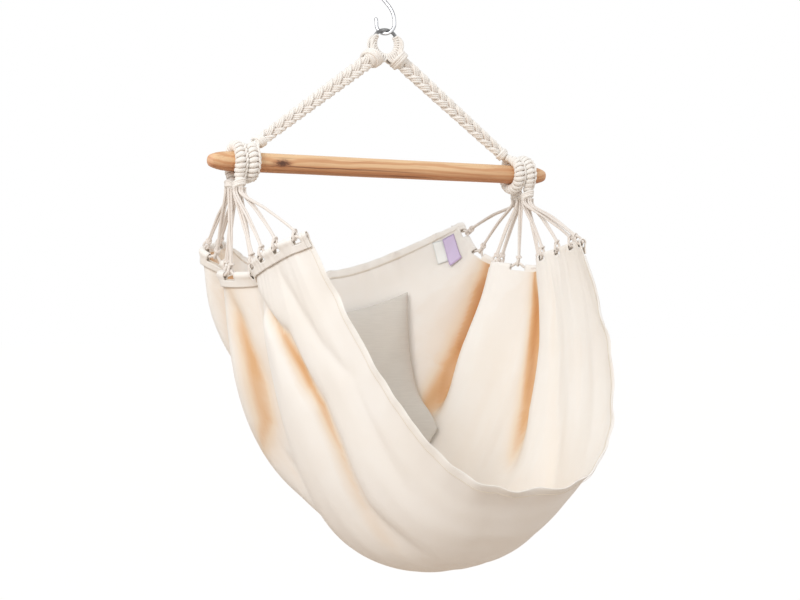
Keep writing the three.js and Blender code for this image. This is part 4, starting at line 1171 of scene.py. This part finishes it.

# The canvas's colour runs from orange-brown where the cloth is closed in to cream where it is open: painted
# shade and painted warm light. Its cloudy blotches are the cloth's own tone.
canvas = Finish("unbleached_canvas", Roughness=0.88, Sheen_Weight=0.12, Sheen_Roughness=0.5)
shade = canvas.node("ShaderNodeValToRGB", {"stops": [
    (0.12, paint(204, 138, 78)), (0.28, paint(226, 182, 136)), (0.44, paint(240, 222, 200)),
    (0.60, paint(244, 234, 222)), (0.86, paint(250, 247, 242))]}, [canvas.mark("open")])
cloudy = canvas.ease(canvas.grain(canvas.place(), 9, 3), 0.3, 0.8)
tone = canvas.blend(cloudy * 0.2, shade, paint(240, 229, 213))
threads = canvas.node("ShaderNodeCombineXYZ", {}, [canvas.mark("warp"), canvas.mark("weft"), 0.0])
warp = canvas.node("ShaderNodeTexWave", {"bands_direction": "X"},
                   {"Vector": threads, "Scale": 260, "Distortion": 1.0})
weft = canvas.node("ShaderNodeTexWave", {"bands_direction": "Y"},
                   {"Vector": threads, "Scale": 260, "Distortion": 1.0})
slub = canvas.grain(threads, 70, 4)
canvas.set(Base_Color=tone, Normal=canvas.bump(warp * weft + 0.8 * slub, 0.0003, 0.6))
sling = add_piece("canvas_sling", bm, "sling", "sling_canvas", canvas, "sling")

# The seams are sewn with cream thread. Each row of stitches dips in and out of the cloth.
STITCH = 0.0045
STITCH_POINTS = 6
THREAD = 0.0007
STITCH_LIFT = 0.0003
STITCH_DIP = 0.0007
SEAM_LIFT = 0.0001
thread = Finish("cream_thread", Roughness=0.8, Base_Color=paint(232, 222, 205))


def add_stitches(bm, line, ways):
    """A row of stitches along a line of places on a cloth, and the ways out of its surface."""
    run = run_along(line)
    count = round(run[-1] / STITCH) * STITCH_POINTS
    places = np.linspace(0, run[-1], count + 1)
    line = evenly(line, places)
    ways = np.stack([np.interp(places, run, ways[:, k]) for k in range(3)], axis=1)
    dip = STITCH_LIFT + STITCH_DIP * np.clip(np.cos(2 * math.pi * places / STITCH) + 0.4, -1, 1)
    add_cord(bm, line + unit(ways) * dip[:, None], THREAD, sides=5)


bm = new_mesh()
thick = CANVAS + SEAM_LIFT
for row, step in ((HEM_ROWS - 0.5, 1), (ROWS - HEM_ROWS + 0.5, -1)):
    low = int(row)
    seam = (grid[low] + grid[low + 1]) / 2
    way = unit(normals[low] + normals[low + 1])
    inside = slice(CASING_COLUMNS + 2, columns - CASING_COLUMNS - 2)
    add_stitches(bm, (seam + way * HEM_LAP)[inside], way[inside])
    add_stitches(bm, (seam - way * thick)[inside], -way[inside])
for j in (CASING_COLUMNS - 1, CASING_COLUMNS + 1, columns - CASING_COLUMNS, columns - CASING_COLUMNS - 2):
    add_stitches(bm, grid[2:-2, j] - normals[2:-2, j] * thick, -normals[2:-2, j])
for j in (CASING_COLUMNS + 1, columns - CASING_COLUMNS - 2):
    add_stitches(bm, grid[2:-2, j] + normals[2:-2, j] * SEAM_LIFT, normals[2:-2, j])
add_piece("seam_stitches", bm, "sling", "sling_canvas", thread)

# Two plain fabric tags hang from the back edge's seam, a lilac woven one over a white one. Their corners
# are shares from the back and out from the middle.
TAG_THICK = 0.0005
TAG_RIPPLE = 0.0006


def cloth_spot(v, out):
    """A place on the cloth's right half and the way into the seat there."""
    row, column = v * ROWS, middle_column + out * BODY_COLUMNS
    i, j = int(row), int(column)
    a, b = row - i, column - j

    def mean(field):
        return ((1 - a) * (1 - b) * field[i, j] + (1 - a) * b * field[i, j + 1]
                + a * (1 - b) * field[i + 1, j] + a * b * field[i + 1, j + 1])

    return mean(grid), unit(mean(normals))


def add_tag(name, corners, height, curl, finish):
    """A tag between four corners on the cloth, lifted off it and curled away towards its lower end."""
    top_left, top_right, low_right, low_left = (np.array(corner) for corner in corners)
    places = []
    for down in np.linspace(0, 1, 15):
        row = []
        for side_share in np.linspace(0, 1, 11):
            upper = top_left + (top_right - top_left) * side_share
            lower = low_left + (low_right - low_left) * side_share
            v, out = upper + (lower - upper) * down
            place, way = cloth_spot(v, out)
            curled = curl * down**2 * (1.3 - side_share)
            rippled = TAG_RIPPLE * math.sin(7 * down + 3 * side_share)
            row.append(place + way * (height + curled + rippled))
        places.append(row)
    bm = new_mesh()
    rows = net(bm, np.array(places))
    mark = bm.verts.layers.float["open"]
    for i, row in enumerate(rows):
        for j, vert in enumerate(row):
            vert[mark] = 0.0 if j in (0, len(row) - 1) or i in (0, len(rows) - 1) else 1.0
    bmesh.ops.solidify(bm, geom=bm.faces[:], thickness=TAG_THICK)
    add_piece(name, bm, "sling", "sling_canvas", finish)


lilac = Finish("lilac_satin", Roughness=0.45, Sheen_Weight=0.3)
ribs = lilac.grain(lilac.place(), 800, 2)
edge = lilac.mark("open")
lilac.set(Base_Color=lilac.blend(edge, paint(186, 162, 202), paint(212, 196, 228)),
          Normal=lilac.bump(ribs, 0.0001))
white = Finish("white_tape", Roughness=0.6, Sheen_Weight=0.2)
weave = white.grain(white.place(), 800, 2)
edge = white.mark("open")
white.set(Base_Color=white.blend(edge, paint(222, 224, 222), paint(246, 248, 246)),
          Normal=white.bump(weave, 0.0001))
add_tag("white_tag", ((0.017, 0.774), (0.024, 0.862), (0.083, 0.845), (0.072, 0.762)), 0.0030, 0.0012, white)
add_tag("lilac_tag", ((0.022, 0.845), (0.022, 0.940), (0.106, 0.929), (0.100, 0.833)), 0.0048, 0.0035, lilac)

# The cushion is loose: a linen cover over a soft filling, with a knife edge all round, lying in the
# angle of back and seat.
CUSHION_WIDTH = 0.370
CUSHION_HEIGHT = 0.430
CUSHION_THICK = 0.036
CUSHION_EDGE = 0.006
CUSHION_X = -0.042
CUSHION_TOP_SHARE = 0.075
CUSHION_GAP = 0.012
CUSHION_STEPS = 96
CUSHION_DRAW_SHARE = 0.06
CUSHION_SAG_ROWS = 4.5
CUSHION_RUMPLES = ((2.2, 1.7, 0.004), (6, 9.1, 0.0014))
CUSHION_PUCKER = 0.0008
CUSHION_PUCKER_TURN = 0.9
CUSHION_PUCKER_SHARE = 0.08


def cloth_line_at(v):
    """The plain cloth's line across at a share from the back, from left to right."""
    left = bend_points(cloth_bend("left", v), np.linspace(0, 1, 160))
    right = bend_points(cloth_bend("right", v), np.linspace(0, 1, 160))
    return np.concatenate([left[:0:-1], right])


def cloth_at(xs, v):
    line = cloth_line_at(v)
    x, y, z = line[np.argsort(line[:, 0])].T
    return np.stack([xs, np.interp(xs, x, y), np.interp(xs, x, z)], axis=1)


def cushion_sheets():
    """The cushion's back laid on the cloth, the ways out of it, and the share of its swell at each place."""
    shares = np.linspace(CUSHION_TOP_SHARE, 1, 400)
    middle = np.array([cloth_at(np.array([CUSHION_X]), v)[0] for v in shares])
    spread = np.interp(np.linspace(0, CUSHION_HEIGHT, CUSHION_STEPS + 1), run_along(middle), shares)
    across = np.linspace(-1, 1, CUSHION_STEPS + 1)
    rest = []
    for i, v in enumerate(spread):
        s = 2 * i / CUSHION_STEPS - 1
        draw = 1 - CUSHION_DRAW_SHARE * (1 - s * s)
        rest.append(cloth_at(CUSHION_X + across * draw * CUSHION_WIDTH / 2, v))
    rest = np.array(rest)
    numbers = np.arange(CUSHION_STEPS + 1)
    for j, w in enumerate(across):
        shifted = numbers + CUSHION_SAG_ROWS * (w + 1) / 2 * (1 - numbers / CUSHION_STEPS)
        rest[:, j] = np.stack([np.interp(shifted, numbers, rest[:, j, k]) for k in range(3)], axis=1)
    ways = -unit(np.cross(np.gradient(rest, axis=1), np.gradient(rest, axis=0)))
    s = np.linspace(-1, 1, CUSHION_STEPS + 1)[:, None]
    w = across[None, :]
    crown = ((1 - s**4) * (1 - w**4)) ** 0.6
    return rest, ways, crown


rest, ways, crown = cushion_sheets()
back = rest + ways * (CUSHION_GAP + CLOTH / 2)
depth = CUSHION_EDGE + (CUSHION_THICK - CUSHION_EDGE) * crown
for i in range(CUSHION_STEPS + 1):
    for j in range(CUSHION_STEPS + 1):
        s, w = 2 * i / CUSHION_STEPS - 1, 2 * j / CUSHION_STEPS - 1
        rumple = sum(noise.noise(Vector((s * pitch, w * pitch, seed))) * height
                     for pitch, seed, height in CUSHION_RUMPLES)
        pucker = math.sin(i * CUSHION_PUCKER_TURN) * math.exp(-(1 - abs(w)) / CUSHION_PUCKER_SHARE)
        pucker += math.sin(j * CUSHION_PUCKER_TURN) * math.exp(-(1 - abs(s)) / CUSHION_PUCKER_SHARE)
        depth[i, j] += (rumple + CUSHION_PUCKER * pucker) * crown[i, j] ** 0.5
front = rest + ways * (CUSHION_GAP + CLOTH / 2 + depth[..., None])
bm = new_mesh()
sheets = net(bm, front), net(bm, back)
rims = []
for sheet in sheets:
    rim = {*sheet[0], *sheet[-1], *(row[0] for row in sheet), *(row[-1] for row in sheet)}
    rims += [edge for edge in bm.edges if edge.is_boundary and edge.verts[0] in rim]
bmesh.ops.bridge_loops(bm, edges=rims)
linen = Finish("grey_linen", Roughness=0.9, Sheen_Weight=0.2, Sheen_Roughness=0.5)
slub = linen.grain(linen.place((30, 30, 400)), 1.0, 3)
weave = linen.grain(linen.place(), 700, 2)
cloudy = linen.ease(linen.grain(linen.place(), 11, 2), 0.3, 0.75)
tone = linen.blend(slub, paint(200, 195, 187), paint(216, 211, 203))
tone = linen.blend(cloudy * 0.3, tone, paint(214, 207, 197))
linen.set(Base_Color=tone, Normal=linen.bump(weave + slub, 0.0003, 0.6))
cushion = add_piece("linen_cushion", bm, "cushion", "cushion_linen", linen, "cushion")
